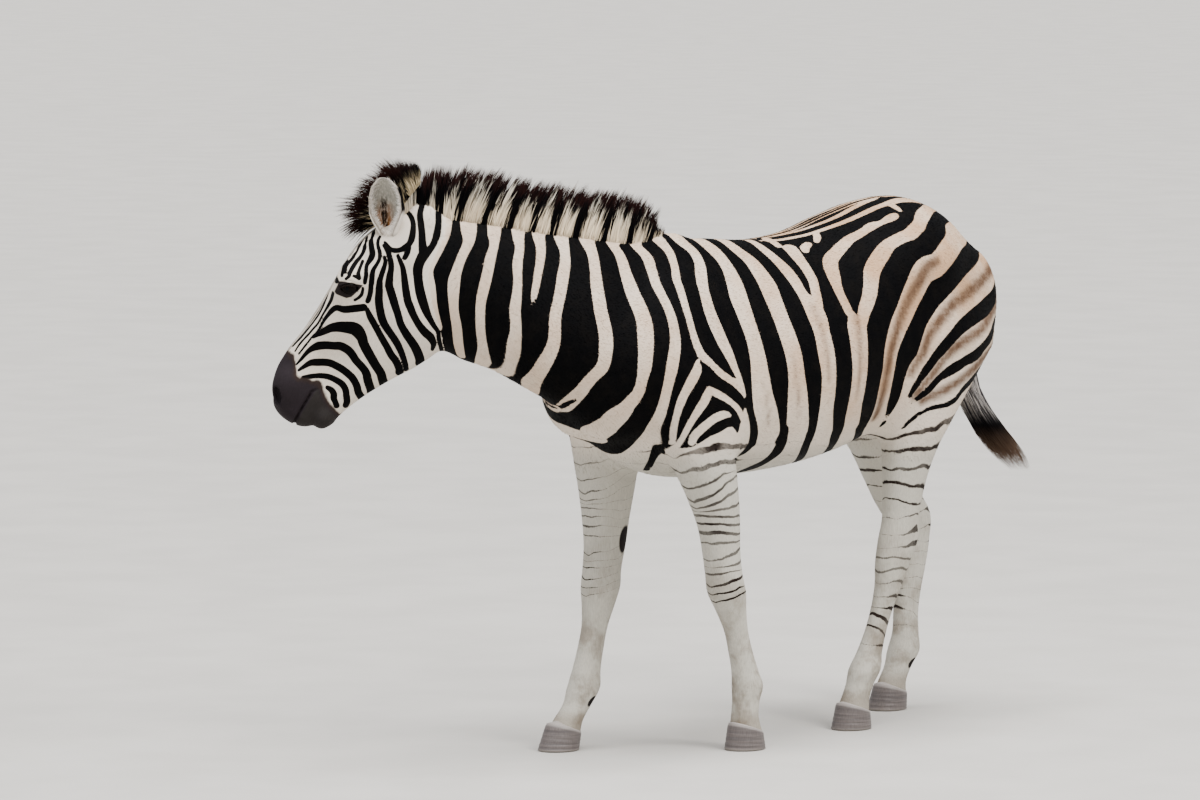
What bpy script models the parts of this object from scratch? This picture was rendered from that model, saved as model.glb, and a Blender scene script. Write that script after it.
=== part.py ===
"""A life-size still model of a plains zebra, standing in mid step and looking to its right.

The flesh is one implicit body: lofts through named sections, muscle ellipsoids blended in and hollows
blended out. It is written with a straight neck, in a frame that has x towards the tail, y to the
animal's right, z up and x = 0 under the withers. A bend then turns the neck and head, and the last
step turns the whole animal to face -Y, centres it and stands it on z = 0. Metres.
"""

import math

import bmesh
import bpy
import numpy as np
from mathutils import Matrix, Vector

# ---------------------------------------------------------------- sizes
GAP = 0.0003                # clear space left between two neighbouring pieces
GRID = 0.011                # cell of the grid that the flesh is meshed on
FLESH_TRIANGLES = 4700      # what the flesh is thinned to
STEPS = 8                   # parts that the space between two stations is divided in

NECK_TURN = math.radians(45)    # heading of the head against the trunk, to the right
NECK_CORNER = 0.36              # how far ahead of the withers the two headings cross
NECK_REACH = 0.31               # length of the turn before and after that point, at the crest
NECK_SLANT = 0.50               # how fast the turn gets shorter below the crest
NECK_REACH_LEAST = 0.07
CREST_HEIGHT = 1.30

POLL = (-0.732, 1.388)          # x and z of the top of the head
HEAD_DROP = math.radians(59)    # slope of the head under the horizontal

LEG_TOP = 0.655                 # height at which the legs are parted from the trunk

# ---------------------------------------------------------------- stations
# Trunk: x, top, bottom, half width, level of the widest point (0 to 1), and how much the section
# narrows towards its top and towards its bottom (0 is an ellipse, less than 0 is squarer)
TRUNK = (
    (-0.22, 1.130, 0.830, 0.110, 0.48, 0.15, 0.00),
    (-0.12, 1.220, 0.745, 0.155, 0.45, 0.25, -0.05),
    (0.00, 1.285, 0.700, 0.190, 0.42, 0.38, -0.08),
    (0.15, 1.295, 0.686, 0.220, 0.42, 0.38, -0.10),
    (0.34, 1.285, 0.688, 0.248, 0.42, 0.25, -0.10),
    (0.50, 1.300, 0.704, 0.254, 0.44, 0.15, -0.10),
    (0.65, 1.339, 0.733, 0.248, 0.48, 0.08, -0.08),
    (0.78, 1.368, 0.778, 0.234, 0.52, 0.02, -0.05),
    (0.92, 1.369, 0.830, 0.215, 0.55, -0.05, 0.00),
    (1.03, 1.319, 0.890, 0.175, 0.55, -0.05, 0.00),
    (1.11, 1.245, 0.965, 0.115, 0.55, 0.00, 0.00),
)
# Neck: the same columns
NECK = (
    (-0.69, 1.362, 1.130, 0.066, 0.50, 0.05, 0.10),
    (-0.62, 1.374, 1.040, 0.080, 0.46, 0.24, 0.12),
    (-0.50, 1.364, 0.984, 0.090, 0.44, 0.40, 0.10),
    (-0.38, 1.345, 0.920, 0.106, 0.40, 0.48, 0.05),
    (-0.25, 1.325, 0.868, 0.130, 0.40, 0.50, 0.00),
    (-0.10, 1.302, 0.830, 0.150, 0.40, 0.48, 0.00),
    (0.06, 1.285, 0.805, 0.140, 0.42, 0.42, 0.00),
)
# Upper head, along its own axis from the poll: distance, then the same columns
SKULL = (
    (0.000, -0.015, -0.115, 0.050, 0.55, 0.00, 0.00),
    (0.060, 0.026, -0.125, 0.070, 0.60, 0.00, 0.00),
    (0.120, 0.047, -0.135, 0.086, 0.66, -0.08, 0.05),
    (0.195, 0.053, -0.132, 0.095, 0.68, -0.14, 0.12),
    (0.250, 0.052, -0.128, 0.088, 0.66, -0.14, 0.14),
    (0.310, 0.052, -0.126, 0.072, 0.62, -0.10, 0.10),
    (0.380, 0.055, -0.118, 0.058, 0.58, -0.08, 0.05),
    (0.450, 0.063, -0.108, 0.051, 0.55, -0.05, 0.00),
    (0.510, 0.059, -0.102, 0.054, 0.50, -0.05, 0.00),
    (0.562, 0.030, -0.092, 0.050, 0.50, -0.10, 0.00),
)
# Lower jaw: the same columns
JAW = (
    (0.110, -0.020, -0.200, 0.056, 0.50, 0.00, 0.05),
    (0.170, -0.020, -0.250, 0.066, 0.52, 0.00, 0.10),
    (0.235, -0.020, -0.266, 0.066, 0.54, 0.00, 0.15),
    (0.310, -0.025, -0.238, 0.057, 0.52, 0.00, 0.12),
    (0.380, -0.035, -0.196, 0.045, 0.50, 0.00, 0.05),
    (0.450, -0.045, -0.160, 0.038, 0.50, 0.00, 0.00),
    (0.500, -0.055, -0.140, 0.038, 0.50, 0.00, 0.00),
    (0.535, -0.060, -0.130, 0.036, 0.50, 0.00, 0.00),
)
# Legs: height, then x and y of the centre, then the radii along x and along y
FORE_LEFT = (
    (0.040, 0.186, -0.150, 0.046, 0.041),
    (0.090, 0.181, -0.152, 0.036, 0.034),
    (0.125, 0.184, -0.153, 0.038, 0.033),
    (0.160, 0.188, -0.154, 0.044, 0.036),
    (0.200, 0.178, -0.155, 0.039, 0.030),
    (0.250, 0.161, -0.156, 0.035, 0.027),
    (0.310, 0.141, -0.158, 0.034, 0.028),
    (0.365, 0.120, -0.160, 0.043, 0.037),
    (0.410, 0.104, -0.161, 0.052, 0.046),
    (0.450, 0.094, -0.162, 0.049, 0.046),
    (0.510, 0.083, -0.163, 0.051, 0.045),
    (0.580, 0.071, -0.165, 0.058, 0.050),
    (0.650, 0.050, -0.166, 0.072, 0.057),
    (0.730, 0.022, -0.163, 0.092, 0.064),
    (0.820, -0.010, -0.155, 0.112, 0.068),
    (0.930, -0.030, -0.145, 0.125, 0.064),
)
FORE_RIGHT = (
    (0.040, -0.152, 0.170, 0.047, 0.042),
    (0.075, -0.131, 0.169, 0.040, 0.036),
    (0.110, -0.102, 0.168, 0.039, 0.034),
    (0.150, -0.080, 0.167, 0.046, 0.038),
    (0.195, -0.070, 0.166, 0.041, 0.032),
    (0.250, -0.056, 0.165, 0.038, 0.029),
    (0.310, -0.041, 0.164, 0.038, 0.030),
    (0.360, -0.031, 0.162, 0.046, 0.038),
    (0.405, -0.024, 0.161, 0.053, 0.047),
    (0.450, -0.020, 0.160, 0.052, 0.047),
    (0.510, -0.010, 0.160, 0.057, 0.049),
    (0.580, -0.006, 0.160, 0.066, 0.054),
    (0.650, -0.003, 0.160, 0.080, 0.060),
    (0.730, -0.005, 0.158, 0.098, 0.066),
    (0.820, -0.015, 0.153, 0.114, 0.068),
    (0.930, -0.030, 0.145, 0.125, 0.064),
)
HIND_LEFT = (
    (0.040, 0.660, -0.078, 0.047, 0.042),
    (0.080, 0.670, -0.080, 0.039, 0.035),
    (0.115, 0.683, -0.083, 0.039, 0.034),
    (0.152, 0.697, -0.087, 0.046, 0.038),
    (0.195, 0.710, -0.091, 0.038, 0.030),
    (0.250, 0.726, -0.098, 0.032, 0.026),
    (0.310, 0.742, -0.106, 0.033, 0.026),
    (0.370, 0.757, -0.114, 0.041, 0.031),
    (0.430, 0.766, -0.121, 0.054, 0.037),
    (0.490, 0.775, -0.127, 0.058, 0.039),
    (0.540, 0.779, -0.133, 0.054, 0.039),
    (0.600, 0.782, -0.140, 0.059, 0.044),
    (0.660, 0.786, -0.146, 0.067, 0.052),
    (0.730, 0.797, -0.152, 0.084, 0.064),
    (0.800, 0.816, -0.155, 0.112, 0.080),
    (0.880, 0.843, -0.152, 0.150, 0.094),
    (0.980, 0.880, -0.140, 0.190, 0.100),
)
HIND_RIGHT = (
    (0.040, 1.020, 0.122, 0.047, 0.042),
    (0.075, 1.033, 0.124, 0.040, 0.035),
    (0.110, 1.056, 0.126, 0.039, 0.034),
    (0.150, 1.080, 0.128, 0.047, 0.039),
    (0.195, 1.090, 0.130, 0.041, 0.031),
    (0.250, 1.096, 0.134, 0.039, 0.028),
    (0.310, 1.105, 0.137, 0.043, 0.030),
    (0.370, 1.114, 0.140, 0.053, 0.034),
    (0.430, 1.120, 0.144, 0.064, 0.038),
    (0.490, 1.117, 0.147, 0.072, 0.042),
    (0.550, 1.085, 0.150, 0.082, 0.046),
    (0.610, 1.053, 0.153, 0.084, 0.052),
    (0.680, 1.018, 0.155, 0.090, 0.060),
    (0.750, 0.984, 0.157, 0.106, 0.072),
    (0.820, 0.958, 0.155, 0.135, 0.086),
    (0.900, 0.935, 0.148, 0.170, 0.098),
    (0.980, 0.920, 0.140, 0.190, 0.100),
)
# Dock of the tail: x, y, z and the radius there
DOCK = (
    (1.080, 0.000, 1.245, 0.050),
    (1.146, 0.003, 1.215, 0.038),
    (1.178, 0.006, 1.140, 0.031),
    (1.180, 0.008, 1.040, 0.027),
    (1.166, 0.008, 0.950, 0.024),
    (1.168, 0.005, 0.880, 0.022),
)
# Hair of the tail: the same columns
TUFT = (
    (1.164, 0.006, 0.925, 0.030),
    (1.180, 0.003, 0.860, 0.038),
    (1.222, -0.008, 0.785, 0.041),
    (1.280, -0.020, 0.712, 0.038),
    (1.330, -0.030, 0.656, 0.027),
    (1.360, -0.036, 0.622, 0.010),
)


# Shapes of the head in its own frame: centre, radii, pitch, fillet
HEAD_SWELLS = (
    ((0.200, 0.034, -0.155), (0.095, 0.046, 0.088), -28, 0.030),    # cheek muscle
    ((0.205, 0.070, 0.022), (0.058, 0.036, 0.028), -4, 0.030),      # brow
    ((0.300, 0.040, -0.030), (0.095, 0.033, 0.034), 6, 0.040),      # facial crest
    ((0.524, 0.030, 0.014), (0.044, 0.030, 0.036), -24, 0.026),     # rim of the nostril
    ((0.543, 0.010, -0.102), (0.030, 0.034, 0.024), 0, 0.016),      # chin
)
HEAD_HOLLOWS = (
    ((0.150, 0.112, 0.032), (0.036, 0.030, 0.024), 0, 0.034),       # above the eye
    ((0.425, 0.098, -0.050), (0.090, 0.050, 0.040), 0, 0.040),      # side of the muzzle
)
# Shapes of the trunk, y outwards: centre, radii, pitch, fillet
TRUNK_SWELLS = (
    ((-0.130, 0.100, 0.985), (0.130, 0.075, 0.110), 55, 0.09),      # point of the shoulder
    ((0.050, 0.150, 0.890), (0.125, 0.060, 0.105), -35, 0.09),      # triceps
    ((-0.010, 0.090, 1.060), (0.090, 0.080, 0.140), 10, 0.12),      # shoulder blade
    ((-0.200, 0.060, 0.895), (0.075, 0.060, 0.080), 0, 0.07),       # breast
    ((0.800, 0.130, 1.200), (0.120, 0.085, 0.090), 0, 0.09),        # point of the hip
    ((1.050, 0.085, 1.060), (0.120, 0.085, 0.170), -15, 0.07),      # buttock
)
HOCK_POINTS = ((0.819, -0.128, 0.495), (1.168, 0.148, 0.500))

EYE = (0.225, 0.083, 0.010)     # along, across and up in the head's frame
EYE_RADIUS = 0.026
EYE_TURNS, EYE_BANDS = 16, 10

# Hooves: x and y of the sole, then x and y of the coronet, which the leg comes down to
HOOVES = {
    "hoof_front_left": ((0.184, -0.150), (0.186, -0.150)),
    "hoof_front_right": ((-0.166, 0.170), (-0.146, 0.170)),
    "hoof_hind_left": ((0.658, -0.077), (0.664, -0.078)),
    "hoof_hind_right": ((1.010, 0.122), (1.024, 0.122)),
}
SOLE = (0.058, 0.049)           # half length and half width on the ground
CORONET = (0.049, 0.044)        # and at the top of the horn
TOE_HEIGHT, HEEL_HEIGHT = 0.072, 0.040
SOLE_BEVEL = 0.004
HOOF_TURNS = 20

EAR_BASE = (0.080, 0.052, -0.017)
EAR_AXIS = (-0.80, 0.22, 0.60)  # towards the tip, in the head's frame
EAR_FACING = (0.30, 0.90, 0.10)  # towards the opening
EAR_LENGTH = 0.164
EAR_WALL = 0.0045
EAR_TURNS = 12
# Ear: part of the length, half width, half angle of the shell (degrees), set back of the shell
EAR = (
    (0.00, 0.027, 150, 0.000),
    (0.15, 0.033, 140, 0.002),
    (0.32, 0.041, 122, 0.005),
    (0.50, 0.044, 108, 0.008),
    (0.68, 0.040, 98, 0.009),
    (0.84, 0.030, 90, 0.008),
    (0.94, 0.018, 84, 0.006),
    (1.00, 0.006, 80, 0.004),
)
EAR_BACK_DEPTH = 0.62           # depth of the shell against its half width

# Mane: x along the straight neck, height of its top over the crest, half thickness low and high
MANE = (
    (0.050, 1.298, 0.012, 0.006),
    (0.000, 1.335, 0.019, 0.009),
    (-0.050, 1.380, 0.023, 0.010),
    (-0.110, 1.412, 0.026, 0.011),
    (-0.190, 1.430, 0.027, 0.011),
    (-0.280, 1.438, 0.027, 0.011),
    (-0.370, 1.452, 0.027, 0.011),
    (-0.460, 1.466, 0.027, 0.011),
    (-0.550, 1.481, 0.027, 0.012),
    (-0.630, 1.487, 0.027, 0.013),
    (-0.700, 1.487, 0.028, 0.015),
    (-0.760, 1.474, 0.028, 0.014),
)
MANE_FOOT = 0.060               # how far the mane's foot runs down inside the neck

# Forelock: along, up and the radii across and up, in the head's frame
FORELOCK = (
    (-0.060, 0.070, 0.022, 0.028),
    (-0.030, 0.086, 0.034, 0.046),
    (0.010, 0.096, 0.040, 0.056),
    (0.055, 0.094, 0.038, 0.052),
    (0.100, 0.080, 0.028, 0.034),
    (0.135, 0.064, 0.010, 0.012),
)

# Corners of the space that the flesh is meshed in, and the planes that part it
FLESH_LOW, FLESH_HIGH = (-1.02, -0.36, -0.02), (1.26, 0.62, 1.48)
NECK_CUT, NECK_CUT_NORMAL = (-0.020, 0, 1.300), (-0.829, 0, 0.560)
HEAD_CUT, HEAD_CUT_NORMAL = (-0.650, 0, 1.200), (-0.993, -0.118)

# Red, green, blue and roughness
COLOURS = {
    "coat": (0.62, 0.58, 0.51, 0.85),
    "hair": (0.06, 0.045, 0.038, 0.90),
    "horn": (0.16, 0.14, 0.13, 0.55),
    "eye": (0.012, 0.010, 0.009, 0.12),
}


# ---------------------------------------------------------------- curves through the stations
def refined(rows):
    """The stations with smooth steps between them."""
    rows = np.array(rows, float)
    t = rows[:, 0]
    slope = np.gradient(rows, t, axis=0)
    u = np.linspace(0, 1, STEPS, endpoint=False)[:, None]
    a = 2 * u**3 - 3 * u**2 + 1
    b = u**3 - 2 * u**2 + u
    c = u**3 - u**2
    out = []
    for i in range(len(rows) - 1):
        h = t[i + 1] - t[i]
        piece = a * rows[i] + b * h * slope[i] + (1 - a) * rows[i + 1] + c * h * slope[i + 1]
        piece[:, 0] = t[i] + h * u[:, 0]
        out.append(piece)
    return np.vstack(out + [rows[-1:]])


def smooth_step(low, high, t):
    u = np.clip((t - low) / (high - low), 0, 1)
    return u * u * (3 - 2 * u)


# ---------------------------------------------------------------- solids as fields, negative inside
def blend(a, b, width):
    """The union of two solids, with a fillet about this wide."""
    h = np.clip(0.5 + 0.5 * (b - a) / width, 0, 1)
    return b * (1 - h) + a * h - width * h * (1 - h)


def carve(a, b, width):
    """The first solid without the second."""
    return -blend(-a, b, width)


def section_loft(t, v, y, rows, caps):
    """A loft along t whose sections lie in v (up) and y, with rounded ends that reach caps beyond."""
    over = np.where(t < rows[0, 0], t - rows[0, 0], np.where(t > rows[-1, 0], t - rows[-1, 0], 0.0))
    top, bottom, wide, level, upper, lower = (
        np.interp(t, rows[:, 0], rows[:, i]) for i in range(1, 7)
    )
    v = v - (bottom + level * (top - bottom))
    reach = np.where(v > 0, (1 - level) * (top - bottom), level * (top - bottom))
    rise = np.minimum((v / reach) ** 2, 1)
    wide = wide * (1 - np.where(v > 0, upper, lower) * rise)
    cap = np.where(over < 0, caps[0], caps[1])
    q = np.sqrt((y / wide) ** 2 + (v / reach) ** 2 + (over / cap) ** 2)
    q = np.maximum(q, 1e-3)
    return np.sqrt(y * y + v * v + over * over) * (1 - 1 / q)


def leg_loft(p, rows, power=2.15):
    """A loft upwards whose sections are ovals about a moving centre."""
    z = p[:, 2]
    over = np.where(z < rows[0, 0], z - rows[0, 0], np.where(z > rows[-1, 0], z - rows[-1, 0], 0.0))
    cx, cy, rx, ry = (np.interp(z, rows[:, 0], rows[:, i]) for i in range(1, 5))
    x, y = p[:, 0] - cx, p[:, 1] - cy
    cap = np.where(over < 0, 0.02, 0.10)
    q = (np.abs(x) / rx) ** power + (np.abs(y) / ry) ** power + (np.abs(over) / cap) ** power
    q = np.maximum(q, 1e-6) ** (1 / power)
    return np.sqrt(x * x + y * y + over * over) * (1 - 1 / q)


def ellipsoid(p, centre, radii, pitch=0.0, yaw=0.0):
    """Pitch (degrees) lifts the +x end, yaw then turns it towards +y."""
    x, y, z = (p - np.array(centre)).T
    c, s = math.cos(math.radians(yaw)), math.sin(math.radians(yaw))
    x, y = c * x + s * y, c * y - s * x
    c, s = math.cos(math.radians(pitch)), math.sin(math.radians(pitch))
    x, z = c * x + s * z, c * z - s * x
    q = np.sqrt((x / radii[0]) ** 2 + (y / radii[1]) ** 2 + (z / radii[2]) ** 2)
    return np.sqrt(x * x + y * y + z * z) * (1 - 1 / np.maximum(q, 1e-3))


def tube(p, rows):
    """A round tube through the rows' points."""
    best = np.full(len(p), 9.0)
    rows = np.array(rows)
    for a, b in zip(rows[:-1], rows[1:]):
        along = b[:3] - a[:3]
        u = np.clip((p - a[:3]) @ along / (along @ along), 0, 1)
        d = np.linalg.norm(p - a[:3] - u[:, None] * along, axis=1) - (a[3] + u * (b[3] - a[3]))
        best = np.minimum(best, d)
    return best


# ---------------------------------------------------------------- the turn of the neck
def turn_reach(z):
    return np.maximum(NECK_REACH - NECK_SLANT * (CREST_HEIGHT - z), NECK_REACH_LEAST)


def straightened(p):
    """Where each point of the standing animal lies before the neck turns."""
    ahead, right, z = -p[:, 0], p[:, 1], p[:, 2]
    reach = turn_reach(z)
    radius = reach / math.tan(NECK_TURN / 2)
    start = NECK_CORNER - reach
    angle = np.arctan2(ahead - start, radius - right)
    c, s = math.cos(NECK_TURN), math.sin(NECK_TURN)
    on = np.where(angle < 0, ahead, start + angle / NECK_TURN * 2 * reach)
    off = np.where(angle < 0, right, radius - np.hypot(ahead - start, radius - right))
    past = (angle > NECK_TURN) & (ahead > start)
    on = np.where(past, NECK_CORNER + (ahead - NECK_CORNER) * c + right * s, on)
    off = np.where(past, right * c - (ahead - NECK_CORNER) * s, off)
    behind = ahead <= start
    return np.stack([-np.where(behind, ahead, on), np.where(behind, right, off), z], axis=1)


def turned(p):
    """The opposite of straightened."""
    p = np.atleast_2d(np.array(p, float))
    on, off, z = -p[:, 0], p[:, 1], p[:, 2]
    reach = turn_reach(z)
    radius = reach / math.tan(NECK_TURN / 2)
    start = NECK_CORNER - reach
    angle = np.clip((on - start) / (2 * reach), 0, 1) * NECK_TURN
    ahead = np.where(on < start, on, start + (radius - off) * np.sin(angle))
    right = np.where(on < start, off, radius - (radius - off) * np.cos(angle))
    c, s = math.cos(NECK_TURN), math.sin(NECK_TURN)
    past = on > start + 2 * reach
    ahead = np.where(past, NECK_CORNER + (on - NECK_CORNER) * c - off * s, ahead)
    right = np.where(past, (on - NECK_CORNER) * s + off * c, right)
    return np.stack([-ahead, right, z], axis=1)


def head_point(along, across, up):
    """A point given by its distance from the poll along the head, to the right, and off the axis."""
    c, s = math.cos(HEAD_DROP), math.sin(HEAD_DROP)
    return (POLL[0] - along * c - up * s, across, POLL[1] - along * s + up * c)


def head_frame(p):
    c, s = math.cos(HEAD_DROP), math.sin(HEAD_DROP)
    x, z = p[:, 0] - POLL[0], p[:, 2] - POLL[1]
    return np.stack([-x * c - z * s, p[:, 1], -x * s + z * c], axis=1)


# ---------------------------------------------------------------- the flesh
TABLES = {
    "trunk": refined(TRUNK),
    "neck": refined(NECK),
    "skull": refined(SKULL),
    "jaw": refined(JAW),
    "legs": [refined(rows) for rows in (FORE_LEFT, FORE_RIGHT, HIND_LEFT, HIND_RIGHT)],
}


def mirrored(p):
    """The points with y made positive, for shapes that both sides share."""
    return np.stack([p[:, 0], np.abs(p[:, 1]), p[:, 2]], axis=1)


def head_field(p):
    """The head, from points in its own frame."""
    side = mirrored(p)
    d = section_loft(p[:, 0], p[:, 2], p[:, 1], TABLES["skull"], (0.05, 0.036))
    d = blend(d, section_loft(p[:, 0], p[:, 2], p[:, 1], TABLES["jaw"], (0.05, 0.022)), 0.018)
    for centre, radii, pitch, width in HEAD_SWELLS:
        d = blend(d, ellipsoid(side, centre, radii, pitch), width)
    for centre, radii, pitch, width in HEAD_HOLLOWS:
        d = carve(d, ellipsoid(side, centre, radii, pitch), width)
    return d


def body_field(p):
    """The whole flesh of the standing animal, as a distance from its surface (negative inside)."""
    bound = straightened(p)
    d = section_loft(p[:, 0], p[:, 2], p[:, 1], TABLES["trunk"], (0.085, 0.055))
    neck = section_loft(bound[:, 0], bound[:, 2], bound[:, 1], TABLES["neck"], (0.06, 0.10))
    d = blend(d, neck, 0.09)
    head = head_frame(bound)
    near = head[:, 0] > -0.12
    h = np.full(len(p), 9.0)
    h[near] = head_field(head[near])
    d = blend(d, h, 0.045)
    side = mirrored(p)
    for centre, radii, pitch, width in TRUNK_SWELLS:
        d = blend(d, ellipsoid(side, centre, radii, pitch), width)
    for rows, hip in zip(TABLES["legs"], (0, 0, 1, 1)):
        leg = leg_loft(p, rows)
        width = 0.03 + (0.05 + 0.03 * hip) * smooth_step(0.60, 0.90, p[:, 2])
        d = blend(d, leg, width)
    for centre in HOCK_POINTS:
        d = blend(d, ellipsoid(p, centre, (0.020, 0.018, 0.040)), 0.03)
    return blend(d, tube(p, DOCK[:2]), 0.04)


# ---------------------------------------------------------------- meshing a field
def surface_nets(field, low, high, cell):
    """Vertices and quads of the surface where the field is zero."""
    counts = [int(math.ceil((b - a) / cell)) + 1 for a, b in zip(low, high)]
    block = 8
    values = np.ones(counts, np.float32)
    spans = [range(0, n, block) for n in counts]
    corners = np.array([(i, j, k) for i in spans[0] for j in spans[1] for k in spans[2]])
    centres = np.array(low) + (corners + (block - 1) / 2) * cell
    rough = field(centres)
    for (i, j, k), value in zip(corners, rough):
        piece = values[i:i + block, j:j + block, k:k + block]
        if abs(value) > 2.6 * block * cell:
            piece[:] = value
            continue
        index = np.stack(np.meshgrid(*(np.arange(n) for n in piece.shape), indexing="ij"), -1)
        points = np.array(low) + (index.reshape(-1, 3) + (i, j, k)) * cell
        piece[:] = field(points).reshape(piece.shape)
    inside = values < 0
    total = np.zeros([n - 1 for n in counts] + [3])
    hits = np.zeros([n - 1 for n in counts], int)
    offsets = [(0, 0), (0, 1), (1, 0), (1, 1)]
    edges = []
    for axis in range(3):
        one = [slice(None)] * 3
        two = [slice(None)] * 3
        one[axis], two[axis] = slice(None, -1), slice(1, None)
        a, b = values[tuple(one)], values[tuple(two)]
        cross = inside[tuple(one)] != inside[tuple(two)]
        at = np.argwhere(cross)
        part = a[cross] / (a[cross] - b[cross])
        spot = at.astype(float)
        spot[:, axis] += part
        others = [k for k in range(3) if k != axis]
        keep = np.ones(len(at), bool)
        for k in others:
            keep &= (at[:, k] > 0) & (at[:, k] < counts[k] - 1)
        for u, v in offsets:
            cells = at.copy()
            cells[:, others[0]] -= u
            cells[:, others[1]] -= v
            ok = keep
            np.add.at(total, tuple(cells[ok].T), spot[ok])
            np.add.at(hits, tuple(cells[ok].T), 1)
        edges.append((at[keep], others, inside[tuple(one)][tuple(at[keep].T)], axis))
    used = hits > 0
    number = np.full(used.shape, -1)
    number[used] = np.arange(used.sum())
    points = np.array(low) + total[used] / hits[used][:, None] * cell
    quads = []
    for at, others, solid, axis in edges:
        ring = []
        for u, v in ((0, 0), (1, 0), (1, 1), (0, 1)):
            cells = at.copy()
            cells[:, others[0]] -= u
            cells[:, others[1]] -= v
            ring.append(number[tuple(cells.T)])
        ring = np.stack(ring, 1)
        flip = solid if axis != 1 else ~solid
        quads.append(np.where(flip[:, None], ring, ring[:, ::-1]))
    return points, np.vstack(quads)


def gradient(field, points, step=0.0015):
    out = np.zeros_like(points)
    for axis in range(3):
        move = np.zeros(3)
        move[axis] = step
        out[:, axis] = (field(points + move) - field(points - move)) / (2 * step)
    return out


def settled(field, points, level=0.0, times=3, most=0.006):
    """The points moved onto the field's surface."""
    for _ in range(times):
        slope = gradient(field, points)
        size = np.maximum((slope ** 2).sum(1), 0.05)
        move = (field(points) - level)[:, None] * slope / size[:, None]
        length = np.linalg.norm(move, axis=1, keepdims=True)
        points = points - move * np.minimum(1, most / np.maximum(length, 1e-9))
    return points


# ---------------------------------------------------------------- meshes and objects
def new_object(name, points, faces, look):
    mesh = bpy.data.meshes.new(name)
    mesh.from_pydata([tuple(map(float, p)) for p in points], [], [tuple(map(int, f)) for f in faces])
    thing = bpy.data.objects.new(name, mesh)
    bpy.context.scene.collection.objects.link(thing)
    *colour, roughness = COLOURS[look]
    material = bpy.data.materials.new(name)
    material.use_nodes = True
    shader = material.node_tree.nodes["Principled BSDF"]
    shader.inputs["Base Color"].default_value = (*colour, 1)
    shader.inputs["Roughness"].default_value = roughness
    shader.inputs["Metallic"].default_value = 0
    mesh.materials.append(material)
    return thing


def rebuilt(thing, change):
    """Runs change on the object's mesh, opened as a bmesh."""
    bm = bmesh.new()
    bm.from_mesh(thing.data)
    change(bm)
    bmesh.ops.recalc_face_normals(bm, faces=bm.faces)
    if bm.calc_volume(signed=True) < 0:
        bmesh.ops.reverse_faces(bm, faces=bm.faces)
    bm.to_mesh(thing.data)
    bm.free()
    thing.data.update()
    return thing


def applied(thing):
    """The modifiers of the object, made into its mesh."""
    graph = bpy.context.evaluated_depsgraph_get()
    done = bpy.data.meshes.new_from_object(thing.evaluated_get(graph))
    thing.modifiers.clear()
    old = thing.data
    thing.data = done
    bpy.data.meshes.remove(old)
    return thing


def copy_of(thing, name, grown=0.0):
    """A copy, with its surface moved out by grown."""
    double = thing.copy()
    double.data = thing.data.copy()
    double.name = double.data.name = name
    bpy.context.scene.collection.objects.link(double)
    if grown:
        for vertex, normal in zip(double.data.vertices, [v.normal.copy() for v in thing.data.vertices]):
            vertex.co += normal * grown
    return double


def remove(thing):
    mesh = thing.data
    bpy.data.objects.remove(thing)
    bpy.data.meshes.remove(mesh)


def cut_by(thing, others):
    """Takes the others out of the object, with the gap between neighbours, and keeps the biggest body."""
    for other in others:
        cutter = copy_of(other, "cutter", GAP)
        tool = thing.modifiers.new("cut", "BOOLEAN")
        tool.operation, tool.solver, tool.object = "DIFFERENCE", "EXACT", cutter
        applied(thing)
        remove(cutter)
    return biggest(thing)


def islands(bm):
    left = set(bm.faces)
    found = []
    while left:
        seed = left.pop()
        group, edge = {seed}, [seed]
        while edge:
            for side in edge.pop().edges:
                for face in side.link_faces:
                    if face in left:
                        left.remove(face)
                        group.add(face)
                        edge.append(face)
        found.append(group)
    return found


def biggest(thing):
    def change(bm):
        groups = sorted(islands(bm), key=lambda g: sum(f.calc_area() for f in g))
        small = [face for group in groups[:-1] for face in group]
        bmesh.ops.delete(bm, geom=small, context="FACES")
        bmesh.ops.triangulate(bm, faces=bm.faces)
    return rebuilt(thing, change)


def sliced(thing, point, normal):
    """Keeps what lies behind the plane and closes the cut."""
    def change(bm):
        geom = bm.verts[:] + bm.edges[:] + bm.faces[:]
        bmesh.ops.bisect_plane(bm, geom=geom, dist=1e-6, plane_co=point, plane_no=normal, clear_outer=True)
        rim = [edge for edge in bm.edges if edge.is_boundary]
        bmesh.ops.holes_fill(bm, edges=rim, sides=0)
        bmesh.ops.triangulate(bm, faces=bm.faces)
    return rebuilt(thing, change)


def parted(thing, name, point, normal):
    """Cuts the object in two at the plane; the part ahead of it becomes a new object."""
    point, normal = Vector(point), Vector(normal).normalized()
    ahead = copy_of(thing, name)
    sliced(ahead, point + normal * GAP / 2, -normal)
    sliced(thing, point - normal * GAP / 2, normal)
    return ahead


def rings_object(name, rings, look):
    """A closed skin over rings of equal length, with flat ends."""
    count = len(rings[0])
    points = [p for ring in rings for p in ring]
    faces = [
        (r * count + k, r * count + (k + 1) % count, (r + 1) * count + (k + 1) % count, (r + 1) * count + k)
        for r in range(len(rings) - 1) for k in range(count)
    ]
    faces.append(tuple(range(count)))
    faces.append(tuple((len(rings) - 1) * count + k for k in range(count)))
    thing = new_object(name, points, faces, look)
    return rebuilt(thing, lambda bm: bmesh.ops.triangulate(bm, faces=bm.faces))


# ---------------------------------------------------------------- pieces set on the flesh
def stand(points):
    """Points of the straight animal, put where they stand once the neck is turned."""
    return [Vector(tuple(map(float, p))) for p in turned(points)]


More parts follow.
